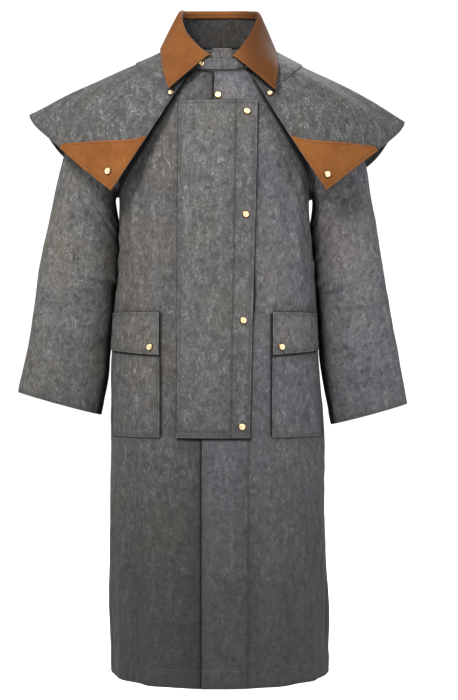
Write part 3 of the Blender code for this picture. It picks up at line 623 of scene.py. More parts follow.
def body_crease(level, angle):
    """The listed creases and a slight unevenness, faded out at the shoulders."""
    degrees = np.degrees(angle)
    total = np.zeros(np.broadcast(level, angle).shape)
    for at, middle, *shape in BODY_CREASES:
        off = (degrees - at + 180) % 360 - 180
        total += crease(np.radians(off) * BODY_ROUND, level - middle, *shape)
    around = angle * BODY_ROUND
    total += 0.0009 * undulation(around, level * 0.6, 0.055)
    total += 0.0004 * undulation(around, level, 0.021, 2)
    return total * ease((CREASES_START - level) / 0.10) * bpy.context.scene.coat_sizes.crease_depth


def body_section(level, angle):
    half, front, back, centre, tilt, side_lift, square = table_at(TORSO, level)
    across = signed_power(np.cos(angle), 2 / square)
    deep = signed_power(np.sin(angle), 2 / square)
    y = np.where(deep > 0, back, front) * deep
    slope = tilt * np.where(deep > 0, BACK_TILT, 1.0)
    return np.stack([centre + half * across, y, level + slope * y + side_lift * across**2], axis=-1)


def body_normal(level, angle):
    step = 0.004
    around = body_section(level, angle + 2 * step) - body_section(level, angle - 2 * step)
    low = np.maximum(level - step, HEM)
    high = np.minimum(level + step, NECK_SEAM)
    return unit(np.cross(around, body_section(high, angle) - body_section(low, angle)))


def body_point(level, angle, lift=0.0):
    """Points of the body's inside, moved out by its folds and by lift."""
    level, angle, lift = np.broadcast_arrays(level, angle, lift)
    out = body_fold(level, angle) + body_crease(level, angle) + lift
    return body_section(level, angle) + body_normal(level, angle) * out[..., None]


def front_angle(level, x):
    half, _, _, centre, _, _, square = table_at(TORSO, level)
    across = np.clip((x - centre) / half, -1.0, 1.0)
    return -np.arccos(signed_power(across, square / 2))


def side_angle(level, y):
    _, front, back, _, _, _, square = table_at(TORSO, level)
    return np.arcsin(signed_power(y / np.where(np.asarray(y) > 0, back, front), square / 2))


def armhole_level(share):
    return UNDERARM + (SHOULDER_TIP - UNDERARM) * (1 - np.cos(np.pi * share)) / 2


def armhole_depth(level):
    share = np.clip((level - UNDERARM) / (SHOULDER_TIP - UNDERARM), 0.0, 1.0)
    return ARMHOLE_HALF_DEPTH * 2 * np.sqrt(share * (1 - share))


def seam_y(level):
    return np.where(level < UNDERARM, table_at(SIDE_SEAM, level)[0], 0.0)


def front_side_angle(level):
    return side_angle(level, seam_y(level) - armhole_depth(level) - SEAM / 2)


def back_side_angle(level):
    return side_angle(level, seam_y(level) + armhole_depth(level) + SEAM / 2)


def mirrored(angle):
    return -math.pi - angle


def lap_edge(level):
    return LAP_EDGE_NECK + (LAP_EDGE_HEM - LAP_EDGE_NECK) * ease(-level / LAP_EDGE_REACH)


def lap_lift(x):
    return LAYER * (1 - ease((x - LAP_RISE_END) / LAP_RISE))


def flap_lift(x):
    return LAYER * (1 + ease((x - FLAP_RISE_START) / FLAP_RISE))


def flap_edges(level):
    down = (FLAP_START - level) / FLAP_LENGTH
    return spread(*FLAP_SEWN, down), spread(*FLAP_FREE, down)


def spread(start, end, share):
    return start + (end - start) * share


def ladder(start, end, step, lines=()):
    """Places from start to end no further apart than step, closer at the stitch lines."""
    count = max(2, int(math.ceil(abs(end - start) / step)) + 1)
    fine = [line + off for line in lines for off in NEAR_LINE]
    fine = [place for place in fine if min(start, end) < place < max(start, end)]
    kept = [p for p in np.linspace(start, end, count) if all(abs(p - f) > 0.0015 for f in fine)]
    places = set(kept) | set(fine) | {start, end}
    return np.array(sorted(places, reverse=start > end))


def panel_levels(step):
    """Rows from the hem to the neck, finer at the hem and even along the armhole's curve."""
    lower = ladder(HEM, UNDERARM, step, (HEM + 0.001, HEM + HEM_STITCH))[:-1]
    armhole = armhole_level(np.linspace(0, 1, 47))
    shoulder = np.linspace(SHOULDER_TIP, NECK_SEAM, 12)[1:]
    return np.concatenate([lower, armhole, shoulder])[:, None]


def columns(width, near, far, count):
    """Shares of the way across each row: fixed distances by the two edges, even between."""
    near = np.array(near) / width
    far = 1 - np.array(far)[::-1] / width
    middle = near[:, -1:] + (far[:, :1] - near[:, -1:]) * np.linspace(0, 1, count + 2)[1:-1]
    return np.hstack([near, middle, far])


def directions(points, ring=False):
    """Outward directions of a grid whose columns run across and rows run up."""
    if ring:
        wrapped = np.concatenate([points[:, -1:], points, points[:, :1]], axis=1)
        across = np.gradient(wrapped, axis=1)[:, 1:-1]
    else:
        across = np.gradient(points, axis=1)
    return unit(np.cross(across, np.gradient(points, axis=0)))


class Cloth:
    """A piece's grid of inside points, with its distances from each border along the cloth."""

    def __init__(self, points, wall, ring=False):
        self.points, self.wall, self.ring = points, wall, ring
        across = np.linalg.norm(np.diff(points, axis=1), axis=-1)
        up = np.linalg.norm(np.diff(points, axis=0), axis=-1)
        self.left = np.pad(np.cumsum(across, axis=1), ((0, 0), (1, 0)))
        self.bottom = np.pad(np.cumsum(up, axis=0), ((1, 0), (0, 0)))
        self.right = self.left[:, -1:] - self.left
        self.top = self.bottom[-1:] - self.bottom
        closing = np.linalg.norm(points[:, :1] - points[:, -1:], axis=-1) if ring else 0.0
        self.width = self.left[:, -1:] + closing
        self.length = self.bottom[-1:]
        self.shades = {}

    def shade(self, **fields):
        """Keeps values of the grid's points for the material: its painted shadow and painted shade."""
        for name, field in fields.items():
            self.shades[name] = np.broadcast_to(field, self.points.shape[:2]).ravel()
        return self

    def press(self, amount):
        self.points = self.points + directions(self.points, self.ring) * np.asarray(amount)[..., None]
        return self

    def face(self):
        """The outer face and its directions."""
        normal = directions(self.points, self.ring)
        return self.points + normal * self.wall, normal

    def nearest(self, sides):
        """Distance to the nearest of these borders."""
        return np.minimum.reduce([getattr(self, side) for side in sides])

    def line(self, side, distance, trim=0.0):
        """A line on the outer face at this distance from a border, trimmed at both ends."""
        face, normal = self.face()
        field = getattr(self, side)
        if side in ("bottom", "top"):
            face, normal, field = face.swapaxes(0, 1), normal.swapaxes(0, 1), field.T
        points, normals = [], []
        for row, at in enumerate(np.broadcast_to(distance, len(field))):
            order = np.argsort(field[row])
            index = np.interp(at, field[row][order], order.astype(float))
            i = min(int(index), field.shape[1] - 2)
            points.append(spread(face[row, i], face[row, i + 1], index - i))
            normals.append(spread(normal[row, i], normal[row, i + 1], index - i))
        if self.ring:
            points.append(points[0])
            normals.append(normals[0])
        return trimmed(np.array(points), unit(np.array(normals)), trim)

    def lines(self, sides, distance, trim):
        return [self.line(side, distance, trim) for side in sides]

    def mesh(self, name, borders):
        face, normal = self.face()
        rows, count = face.shape[:2]
        inwards = np.zeros_like(face)
        inwards[0] += unit(self.points[1] - self.points[0])
        inwards[-1] += unit(self.points[-2] - self.points[-1])
        if not self.ring:
            inwards[:, 0] += unit(self.points[:, 1] - self.points[:, 0])
            inwards[:, -1] += unit(self.points[:, -2] - self.points[:, -1])
        face = face + inwards * self.wall * EDGE_ROUNDING
        total = rows * count
        index = np.arange(total).reshape(rows, count)
        grid, u, v = index, self.left, self.bottom
        if self.ring:
            grid = np.hstack([index, index[:, :1]])
            u = np.hstack([u, self.width])
            v = np.hstack([v, v[:, :1]])
            loops = [index[0], index[-1][::-1]]
        else:
            loops = [np.concatenate([index[0, :-1], index[:-1, -1], index[-1, :0:-1], index[:0:-1, 0]])]
        place = np.stack([u, v], axis=-1)

        def corners(array):
            parts = [array[:-1, :-1], array[:-1, 1:], array[1:, 1:], array[1:, :-1]]
            return np.stack([part.reshape(-1, *array.shape[2:]) for part in parts], axis=1)

        quads, spots = corners(grid), corners(place)
        faces, uvs = [quads, quads[:, ::-1] + total], [spots, spots[:, ::-1]]
        middle = (self.points + normal * self.wall * 0.5).reshape(-1, 3)
        flat_place = np.stack([self.left, self.bottom], axis=-1).reshape(-1, 2)
        rims, start = [], 2 * total
        for loop in loops:
            here = start + np.arange(len(loop))
            start += len(loop)
            after, here_after = np.roll(loop, -1), np.roll(here, -1)
            faces.append(np.stack([here, here_after, after, loop], axis=1))
            faces.append(np.stack([loop + total, after + total, here_after, here], axis=1))
            spot = np.stack([flat_place[loop]] * 4, axis=1)
            uvs += [spot, spot]
            rims.append(loop)
        rims = np.concatenate(rims)
        points = np.concatenate([face.reshape(-1, 3), self.points.reshape(-1, 3), middle[rims]])
        mesh = bpy.data.meshes.new(name)
        mesh.from_pydata(points.tolist(), [], np.concatenate(faces).tolist())
        cut = np.concatenate(uvs).ravel().astype(np.float32)
        mesh.uv_layers.new(name="cut").uv.foreach_set("vector", cut)
        edge = np.minimum(self.nearest(borders), EDGE_REACH).ravel()
        for key, field in {"edge": edge, **self.shades}.items():
            values = np.concatenate([field, field, 0.0 * rims if key == "edge" else field[rims]])
            mesh.attributes.new(key, "FLOAT", "POINT").data.foreach_set("value", values.astype(np.float32))
        mesh.shade_smooth()
        return mesh

    def area(self):
        sides = [np.diff(self.points, axis=0)[:, :-1], np.diff(self.points, axis=1)[:-1]]
        return float(np.linalg.norm(np.cross(*sides), axis=-1).sum())


def outside(x, y, left, right, low, high):
    """Distance out of a rectangle, negative inside it."""
    across, up = np.maximum(left - x, x - right), np.maximum(low - y, y - high)
    return np.hypot(np.maximum(across, 0), np.maximum(up, 0)) + np.minimum(np.maximum(across, up), 0)


def covered(*distances):
    """How near the pieces lying on the cloth are, for the painted shadow they cast: 0 far off, COVER_REACH at
    their edge.
    """
    return np.clip(COVER_REACH - np.minimum.reduce(np.broadcast_arrays(*distances)), 0, 2 * COVER_REACH)


def flap_distance(x, levels):
    """Distance out of the storm flap, for its painted shadow, more at its sewn edges, where it lies close."""
    top = armhole_level(FLAP_TOP_SHARE)
    close = np.maximum(x < flap_edges(levels)[0], levels > top)
    gaping = bell((levels - FLAP_GAPE) / FLAP_GAPE_REACH)
    beside = (levels > POCKET_BOTTOM) * (1 - close)
    away = CLOSE_SEAM * close + CLOSE_EDGE * beside * (1 - 2 * gaping)
    return outside(x, levels, *flap_edges(levels), POCKET_BOTTOM, top) + away


def pocket_distance(x, levels, left, right):
    """Distance out of a pocket, for its painted shadow, more below it and above, where it is sewn down."""
    away = CLOSE_POCKET * np.maximum(levels < POCKET_BOTTOM, levels > POCKET_TOP)
    return outside(x, levels, left, right, POCKET_BOTTOM, POCKET_TOP) + away


def below_leaf(points):
    """Distance below the collar leaf's front edges, as seen from the front, for the leaf's painted shadow."""
    x, y, z = np.moveaxis(points, -1, 0)
    distances = []
    for start, end in ((FOLD_LINE[0], LEAF_EDGE[0]), (FOLD_LINE[-1], LEAF_EDGE[-1])):
        slope = (end[3] - start[3]) / (end[1] - start[1])
        drop = (start[3] + slope * (x - start[1]) - z) / math.hypot(1, slope)
        low, high = sorted((start[1], end[1]))
        aside = np.maximum(low - x, 0) + np.maximum(x - high, 0)
        distances.append(drop + 4 * aside + FAR_OFF * (drop < -0.004))
    return np.minimum(*distances) + FAR_OFF * (y > 0)


def beside_cape(points, wall):
    """Distance from the cape's front edges towards the middle, as seen from the front, for the cape's painted
    shadow.
    """
    x, _, z = np.moveaxis(points, -1, 0)
    share = np.linspace(1, 0.15, 18)
    distances = []
    for station, towards in ((0, 1), (CAPE_STATIONS, -1)):
        edge, _ = cape_point(float(station), share, wall)
        slanted = 0.8 * towards * (x - np.interp(z, edge[:, 2], edge[:, 0]))
        below = np.maximum(edge[0, 2] - z, 0)
        distances.append(slanted + FAR_OFF * (slanted < -COVER_REACH) + below)
    return np.minimum(*distances)


def trimmed(points, normals, trim):
    along = np.concatenate([[0.0], np.cumsum(np.linalg.norm(np.diff(points, axis=0), axis=1))])
    inside = (along >= trim) & (along <= along[-1] - trim)
    return points[inside], normals[inside]


def stitch_mesh(name, lines, sizes):
    """Short rounded threads, end to end along lines on the cloth."""
    points, faces, count = [], [], 0
    for path, normal in lines:
        along = np.concatenate([[0.0], np.cumsum(np.linalg.norm(np.diff(path, axis=0), axis=1))])
        step = sizes.stitch_length + sizes.stitch_gap
        starts = np.arange(0.5 * sizes.stitch_gap, along[-1] - sizes.stitch_length, step)
        if len(starts) == 0:
            continue

        def at(places, values):
            return np.stack([np.interp(places, along, values[:, k]) for k in range(3)], axis=-1)

        first, last = at(starts, path), at(starts + sizes.stitch_length, path)
        up = unit(at(starts + sizes.stitch_length / 2, normal))
        side = unit(np.cross(up, last - first)) * sizes.stitch_width / 2
        high, sunk = up * sizes.stitch_width * 0.45, up * -0.00025
        near, far = spread(first, last, 0.2), spread(first, last, 0.8)
        vertices = [first + sunk]
        for ring in (near, far):
            vertices += [ring + side, ring + high, ring - side, ring + sunk]
        vertices.append(last + sunk)
        points.append(np.stack(vertices, axis=1).reshape(-1, 3))
        pattern = []
        for k in range(4):
            k2 = (k + 1) % 4
            pattern += [[0, 1 + k2, 1 + k], [1 + k, 1 + k2, 5 + k2, 5 + k], [5 + k, 5 + k2, 9]]
        for number in range(len(starts)):
            base = count + 10 * number
            faces += [[base + corner for corner in face] for face in pattern]
        count += 10 * len(starts)
    mesh = bpy.data.meshes.new(name)
    mesh.from_pydata(np.concatenate(points).tolist(), [], faces)
    mesh.shade_smooth()
    return mesh


class Wire:
    """A shader socket whose sums add Math nodes."""

    def __init__(self, paint, socket):
        self.paint, self.socket = paint, socket

    def sum(self, operation, *values):
        return self.paint.node("ShaderNodeMath", {"operation": operation}, *values)

    def __add__(self, other):
        return self.sum("ADD", self, other)

    def __sub__(self, other):
        return self.sum("SUBTRACT", self, other)

    def __rsub__(self, other):
        return self.sum("SUBTRACT", other, self)

    def __mul__(self, other):
        return self.sum("MULTIPLY", self, other)

    __radd__ = __add__

    def size(self):
        return self.sum("ABSOLUTE", self)

    def step(self, low, high):
        """0 below low, 1 above high, smooth between, in either order."""
        smooth = {"interpolation_type": "SMOOTHSTEP"}
        return self.paint.node("ShaderNodeMapRange", smooth, self, low, high, 0.0, 1.0)


class Paint:
    """One material and the nodes in it."""

    def __init__(self, name):
        self.material = bpy.data.materials.new(name)
        self.material.use_nodes = True
        self.tree = self.material.node_tree
        self.shader = self.tree.nodes["Principled BSDF"]

    def connect(self, socket, value):
        if isinstance(value, Wire):
            self.tree.links.new(value.socket, socket)
        else:
            socket.default_value = value

    def node(self, kind, settings=None, *values, out=0, **named):
        """Adds a node: its settings first, then its sockets, by order or by name."""
        made = self.tree.nodes.new(kind)
        for key, value in (settings or {}).items():
            setattr(made, key, value)
        for socket, value in zip(made.inputs, values):
            self.connect(socket, value)
        for key, value in named.items():
            self.connect(made.inputs[key], value)
        return Wire(self, made.outputs[out])

    def place(self):
        return self.node("ShaderNodeTexCoord", out="Object")

    def cut(self):
        return self.node("ShaderNodeUVMap", {"uv_map": "cut"})

    def value(self, name):
        return self.node("ShaderNodeAttribute", {"attribute_name": name}, out="Fac")

    def stretched(self, vector, scale, turn=(0, 0, 0)):
        return self.node("ShaderNodeMapping", None, vector, (0, 0, 0), turn, scale)

    def noise(self, vector, scale, detail=2.0, rough=0.5, distort=0.0):
        settings = {"noise_dimensions": "3D", "normalize": True}
        sockets = {"Scale": scale, "Detail": detail, "Roughness": rough, "Distortion": distort}
        return self.node("ShaderNodeTexNoise", settings, Vector=vector, **sockets)

    def bands(self, vector, direction, scale):
        settings = {"wave_type": "BANDS", "bands_direction": direction}
        return self.node("ShaderNodeTexWave", settings, Vector=vector, Scale=scale)

    def mix(self, share, first, second):
        made = self.tree.nodes.new("ShaderNodeMix")
        made.data_type = "RGBA"
        self.connect(made.inputs[0], share)
        self.connect(made.inputs[6], first)
        self.connect(made.inputs[7], second)
        return Wire(self, made.outputs[2])

    def bump(self, height, strength, distance):
        return self.node("ShaderNodeBump", None, Strength=strength, Distance=distance, Height=height)

    def finish(self, **values):
        for key, value in values.items():
            self.connect(self.shader.inputs[key.replace("_", " ").title().replace("Ior", "IOR")], value)
        return self.material


def rgba(colour, shade=1.0):
    return (*(shade * channel for channel in colour), 1.0)


def washed_canvas(name, colours, tint):
    """Waxed canvas, washed until it is flecked and crazed with pale creases."""
    paint = Paint(name)
    place, cut, edge = paint.place(), paint.cut(), paint.value("edge")
    base = [a * b for a, b in zip(colours.canvas, tint)]
    warm = [a * b for a, b in zip(base, colours.warmth)]
    patches = paint.noise(place, 9.0, 3.0, 0.55)
    mottle = paint.noise(place, 74.0, 4.0, 0.62, 0.4)
    fleck = paint.noise(paint.stretched(place, (1.0, 1.0, 0.62)), 165.0, 2.0, 0.60, 0.6)
    upright = paint.noise(paint.stretched(place, (1.0, 1.0, 0.30)), 92.0, 3.0, 0.6, 0.6)
    grain = paint.noise(place, 560.0, 2.0, 0.6)
    long_lines = paint.noise(paint.stretched(place, (1.0, 1.0, 0.50), (0.2, 0.1, 0.3)), 62.0, 2.0, 0.55, 1.6)
    cross_lines = paint.noise(paint.stretched(place, (0.8, 1.0, 0.62), (0.5, 0.4, 0.9)), 84.0, 2.0, 0.55, 1.8)
    craze = (1 - (long_lines - 0.5).size().step(0.0, 0.026)) * mottle.step(0.44, 0.60)
    cross_craze = (1 - (cross_lines - 0.5).size().step(0.0, 0.030)) * upright.step(0.46, 0.60)
    warp, weft = (paint.bands(cut, direction, 190.0) for direction in "XY")
    worn = (1 - edge.step(0.0006, 0.0024)) * (mottle.step(0.35, 0.65) * 0.7 + 0.3)
    # Darker near the piece's own edges: dirt along the seams and painted shade where pieces meet
    seam_dirt_and_shade = (1 - edge.step(0.003, 0.012)) * 0.40
    # Painted shade: the canvas darker towards the hem, where less light falls
    height_share = paint.node("ShaderNodeSeparateXYZ", None, place, out=2)
    hem_painted_shade = height_share.step(-0.45, -1.15) * 0.72
    colour = paint.mix(patches.step(0.40, 0.62), rgba(base), rgba(warm))
    colour = paint.mix(mottle.step(0.52, 0.32) * 0.55, colour, rgba(colours.canvas_dark))
    colour = paint.mix(fleck.step(0.50, 0.30) * 0.45, colour, rgba(colours.canvas_dark))
    colour = paint.mix(upright.step(0.52, 0.74) * 0.34, colour, rgba(colours.canvas_pale))
    colour = paint.mix(fleck.step(0.52, 0.74) * 0.34, colour, rgba(colours.canvas_pale))
    colour = paint.mix(craze * 0.72, colour, rgba(colours.canvas_pale, 1.45))
    colour = paint.mix(cross_craze * 0.62, colour, rgba(colours.canvas_pale, 1.35))
    colour = paint.mix(seam_dirt_and_shade, colour, rgba(colours.canvas_dark))
    colour = paint.mix(worn * 0.50, colour, rgba(colours.canvas_pale, 1.1))
    colour = paint.mix(grain.step(0.35, 0.70) * 0.18, colour, rgba(colours.canvas_pale))
    colour = paint.mix(hem_painted_shade, colour, rgba(colours.canvas_dark))
    # Painted shade where the cloth turns from the light: a sleeve's inner side, the inside of the collar
    # stand and the cloth beside the lap
    colour = paint.mix(paint.value("lee") * 0.92, colour, rgba(colours.canvas_dark, 0.25))
    # Painted shadow: faint and broad near a piece lying on the cloth
    cover = paint.value("cover")
    colour = paint.mix(cover.step(0.3 * COVER_REACH, COVER_REACH) * 0.22, colour, rgba(colours.canvas_dark))
    # Painted shadow: a dark line along the edge of a piece lying on the cloth
    line = cover.step(COVER_REACH - 0.0075, COVER_REACH - 0.0010)
    colour = paint.mix(line * 0.90, colour, rgba(colours.canvas_dark, 0.15))
    height = mottle * 0.4 + fleck * 0.45 + craze * 0.35 + cross_craze * 0.3 + upright * 0.3 + grain * 0.2
    return paint.finish(
        base_color=colour,
        roughness=0.84 - patches * 0.10 - craze * 0.06,
        normal=paint.bump(height + warp * weft * 0.3, 0.75, 0.0011),
        specular_ior_level=0.10,
    )


def tan_leather(name, colours, shade, far_shade):
    """Smooth oiled leather with a fine grain, with painted shade darkening it towards the wearer's left if
    asked.
    """
    paint = Paint(name)
    place, edge = paint.place(), paint.value("edge")
    cloud = paint.noise(place, 14.0, 3.0, 0.5)
    fine = paint.noise(place, 95.0, 4.0, 0.6, 0.3)
    streak = paint.noise(paint.stretched(place, (1.0, 1.0, 0.3), (0.1, 0.5, 0.2)), 90.0, 3.0, 0.6, 0.8)
    pores = paint.node("ShaderNodeTexVoronoi", {"feature": "DISTANCE_TO_EDGE"}, Vector=place, Scale=620.0)
    across = paint.node("ShaderNodeSeparateXYZ", None, place, out=0)
    groove = 1 - (edge - 0.0062).size().step(0.0004, 0.0016)
    rubbed = 1 - edge.step(0.0004, 0.0016)
    colour = paint.mix(cloud.step(0.36, 0.66), rgba(colours.tan, shade), rgba(colours.tan_dark, shade))
    colour = paint.mix(fine.step(0.45, 0.72) * 0.28, colour, rgba(colours.tan_pale, shade))
    colour = paint.mix(streak.step(0.54, 0.74) * 0.24, colour, rgba(colours.tan_pale, shade))
    # Painted shade: the side towards the wearer's left darker, where less light falls
    far = across.step(0.02, 0.07) * (1 - far_shade)
    colour = paint.mix(far, colour, rgba(colours.tan_dark, 0.45 * shade))
    colour = paint.mix(groove * 0.45, colour, rgba(colours.tan_dark, 0.50 * shade))
    colour = paint.mix(rubbed * 0.28, colour, rgba(colours.tan_pale, shade))
    height = pores.step(0.0, 0.30) * 0.35 + fine * 0.7 + streak * 0.3 - groove * 0.9
    return paint.finish(
        base_color=colour,
        roughness=0.66 + fine * 0.16,
        normal=paint.bump(height, 0.5, 0.0006),
        specular_ior_level=0.06,
    )


def ring_brass(name, colours):
    paint = Paint(name)
    tarnish = paint.noise(paint.place(), 260.0, 2.0, 0.5)
    colour = paint.mix(tarnish.step(0.45, 0.75) * 0.5, rgba(colours.brass), rgba(colours.brass, 0.62))
    # Painted dark reflection on the rim of each snap
    colour = paint.mix(paint.value("rim").step(0.62, 0.86), colour, rgba(colours.brass_dark))
    return paint.finish(
        base_color=colour,
        metallic=1.0,
        roughness=0.34 + tarnish * 0.14,
        normal=paint.bump(tarnish, 0.05, 0.0002),
    )


def sewing_thread(name, colour):
    paint = Paint(name)
    twist = paint.noise(paint.place(), 900.0, 2.0, 0.6)
    return paint.finish(
        base_color=paint.mix(twist, rgba(colour, 0.75), rgba(colour, 1.2)),
        roughness=0.7 + twist * 0.1,
        normal=paint.bump(twist, 0.3, 0.0003),
    )


def material(name):
    """The finish of this name, made once."""
    made = bpy.data.materials.get(name)
    if made is None:
        colours = bpy.context.scene.coat_colours
        if name in CANVAS_TINTS:
            made = washed_canvas(name, colours, CANVAS_TINTS[name])
        elif name in TAN_SHADES:
            made = tan_leather(name, colours, *TAN_SHADES[name])
        elif name == "brass":
            made = ring_brass(name, colours)
        else:
            made = sewing_thread(name, getattr(colours, name))
    return made


def add_piece(name, mesh, finish, node=None):
    piece = bpy.data.objects.new(name, mesh)
    bpy.context.scene.collection.objects.link(piece)
    piece.data.materials.append(material(finish))
    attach(piece, next(iter(frame["bodies"])))
    if node:
        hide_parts(node)
    return piece


ALL_SIDES = ("left", "right", "bottom", "top")


def add_cloth(node, cloth, finish, lines=(), borders=ALL_SIDES):
    """One sheet of cloth or leather in place of its solid, with the stitches on it."""
    leather = finish.startswith("tan")
    name = f"{node}_leather" if leather else f"{node}_cloth"
    piece = add_piece(name, cloth.mesh(name, borders), finish, node)
    extra = []
    if lines:
        thread = f"{node}_stitches"
        mesh = stitch_mesh(thread, lines, bpy.context.scene.coat_sizes)
        extra = [add_piece(thread, mesh, "thread_tan" if leather else "thread_grey")]
    flat = (float(cloth.width.max()), float(cloth.length.max()))
    closing = cloth.area() / cloth.points.shape[1] if cloth.ring else 0.0
    area = min(cloth.area() + closing, flat[0] * flat[1])
    return piece


def add_snap(node, place, normal, size=1.0):
    """A domed ring snap turned about its own axis."""
    ring = np.linspace(0, 2 * np.pi, SNAP_STEPS, endpoint=False)
    profile = np.array(SNAP_PROFILE[1:]) * size
    up = unit(np.asarray(normal, dtype=float))
    side = unit(np.cross(up, (0.3, 0.1, 1.0)))
    other = np.cross(up, side)
    around = side * np.cos(ring)[:, None] + other * np.sin(ring)[:, None]
    base = np.asarray(place) + up * SNAP_GAP
    points = [base + up * SNAP_PROFILE[0][1] * size]
    for radius, height in profile:
        points += list(base + around * radius + up * height)
    points.append(base)
    faces = []
    for k in range(SNAP_STEPS):
        k2 = (k + 1) % SNAP_STEPS
        faces.append([0, 1 + k, 1 + k2])
        for row in range(len(profile) - 1):
            low, high = 1 + row * SNAP_STEPS, 1 + (row + 1) * SNAP_STEPS
            faces.append([low + k, high + k, high + k2, low + k2])
        last = 1 + (len(profile) - 1) * SNAP_STEPS
        faces.append([last + k2, last + k, len(points) - 1][::-1])
    name = f"{node}_brass"
    mesh = bpy.data.meshes.new(name)
    mesh.from_pydata([tuple(p) for p in points], [], faces)
    mesh.validate()
    mesh.shade_smooth()
    rim = np.linalg.norm(np.cross(np.array(points) - base, up), axis=-1) / profile[:, 0].max()
    mesh.attributes.new("rim", "FLOAT", "POINT").data.foreach_set("value", rim.astype(np.float32))
    return add_piece(name, mesh, "brass", node)


def sleeve_fold(along, around):
    total = np.zeros(np.broadcast(along, around).shape)
    for at, middle, half_along, half_around, slant, height in SLEEVE_FOLDS:
        off = (around - middle + 180) % 360 - 180
        total += height * bell((along - at - slant * off / 90) / half_along) * bell(off / half_around)
    return total


def sleeve_crease(along, around, right):
    """The sleeve's creases, moved a little on the wearer's right so that the two differ."""
    total = np.zeros(np.broadcast(along, around).shape)
    down = along * SLEEVE_LENGTH
    for at, middle, *shape in SLEEVE_CREASES:
        shift = 0.014 * math.sin(40 * at) if right else 0.0
        off = (around - middle - (9 if right else 0) + 180) % 360 - 180
        total += crease(np.radians(off) * SLEEVE_ROUND, down - at - shift, *shape)
    u = np.radians(around) * SLEEVE_ROUND
    seed = 5 if right else 3
    total += 0.0009 * undulation(u, down, 0.040, seed) + 0.0004 * undulation(u, down, 0.017, seed + 1)
    return total * ease((along - 0.12) / 0.12) * bpy.context.scene.coat_sizes.crease_depth


def sleeve_points(table, right, wall):
    """A sleeve's inside: rows down the arm, columns round it from the outer side over the front."""
    share = np.linspace(0, 1, 85)[:-1] * 2
    front = share <= 1
    level = armhole_level(np.where(front, 1 - share, share - 1))
    depth = armhole_depth(level)
    angle = side_angle(level, np.where(front, -depth, depth))
    seam = body_point(level, mirrored(angle) if right else angle, wall + SEAM)
    along = np.concatenate([[0.0], ladder(0.006, 1.0, 0.0085, (1 - CUFF_STITCH / SLEEVE_LENGTH, 0.9985))])
    around = np.pi * share
    outer_x, outer_z, inner_x, inner_z, depth, middle_y = table_at(table, 1 + (len(table) - 1) * along)
    turn = SLEEVE_TURN * ease((len(table) - 1) * along / (SLEEVE_TURN_END - 1))
    outer = np.stack([outer_x, middle_y, outer_z], axis=-1)
    inner = np.stack([inner_x, middle_y + turn, inner_z], axis=-1)
    middle, reach = (outer + inner) / 2, (outer - inner) / 2
    reach = reach * (1 - wall / np.linalg.norm(reach, axis=-1, keepdims=True))
    side = np.zeros((len(along), len(around), 3))
    side[..., 1] = -(depth - wall)[:, None] * np.sin(around)
    points = middle[:, None] + reach[:, None] * np.cos(around)[:, None] + side
    out = unit(points - middle[:, None])
    degrees = np.degrees(around)[None]
    amount = sleeve_fold(along[:, None], degrees) + sleeve_crease(along[:, None], degrees, right)
    return np.concatenate([seam[None], points + out * amount[..., None]])


def neck_point(angle, lift=0.0):
    level = np.full(np.shape(angle), NECK_SEAM)
    return body_section(level, angle) + body_normal(level, angle) * np.asarray(lift)[..., None]


def fold_point(angle):
    return np.moveaxis(table_at(FOLD_LINE, np.degrees(angle)), 0, -1)


def fold_frame(angle):
    """Along the collar's fold line, out from the neck, and up, square to each other."""
    along = unit(fold_point(angle + 0.02) - fold_point(angle - 0.02))
    out = np.stack([np.cos(angle), np.sin(angle), np.zeros(np.shape(angle))], axis=-1)
    out = unit(out - along * dot(along, out))
    return along, out, np.cross(out, along)


def stand_top(angle, wall):
    _, out, up = fold_frame(angle)
    under_fold = fold_point(angle) - out * (wall / 2 + STAND_GAP) - up * (STAND_GAP + wall)
    beside = (angle >= COLLAR_LOW - NECKBAND_STEP) & (angle <= COLLAR_HIGH + NECKBAND_STEP)
    band = neck_point(angle)
    band[..., 1] -= NECKBAND_LEAN
    band[..., 2] = np.where(beside, NECKBAND_SIDE, NECKBAND_TOP)
    below = (angle >= COLLAR_LOW) & (angle <= COLLAR_HIGH)
    return np.where(below[..., None], under_fold, band)


def stand_point(angle, share, wall):
    angle = np.asarray(angle, dtype=float)
    x = neck_point(angle)[..., 0]
    lap = np.where(np.sin(angle) < 0, lap_lift(x) * ease((x - NECK_LAP_START) / LAP_RISE), 0.0)
    base = neck_point(angle, wall + 3 * SEAM + lap)
    return spread(base, stand_top(angle, wall), np.asarray(share, dtype=float)[..., None])


def stand_normal(angle, wall):
    step = 0.02
    around = stand_point(angle + step, 0.2, wall) - stand_point(angle - step, 0.2, wall)
    return unit(np.cross(around, stand_point(angle, 0.3, wall) - stand_point(angle, 0.0, wall)))


def stand_points(wall):
    step, slope = math.degrees(NECKBAND_STEP), NECKBAND_SLOPE
    low, high = FOLD_LINE[0][0], FOLD_LINE[-1][0]
    degrees = np.concatenate([
        np.linspace(NECKBAND_START, low - step - slope, 22),
        [low - step + slope],
        np.linspace(low, high, 190),
        [high + step - slope],
        np.linspace(high + step + slope, NECKBAND_END, 22),
    ])
    return stand_point(np.radians(degrees)[None], np.linspace(0, 1, 15)[:, None], wall)


def smooth_through(points, count):
    """Points evenly along a smooth curve through these, which run down the first axis."""
    length = np.linalg.norm(np.diff(points, axis=0), axis=-1).mean(axis=1)
    keys = np.concatenate([[0.0], np.cumsum(length)])
    rows = np.column_stack([keys, points.reshape(len(points), -1)])
    fine = table_at(rows, np.linspace(0, keys[-1], count))
    return np.moveaxis(fine, 0, -1).reshape(count, *points.shape[1:])


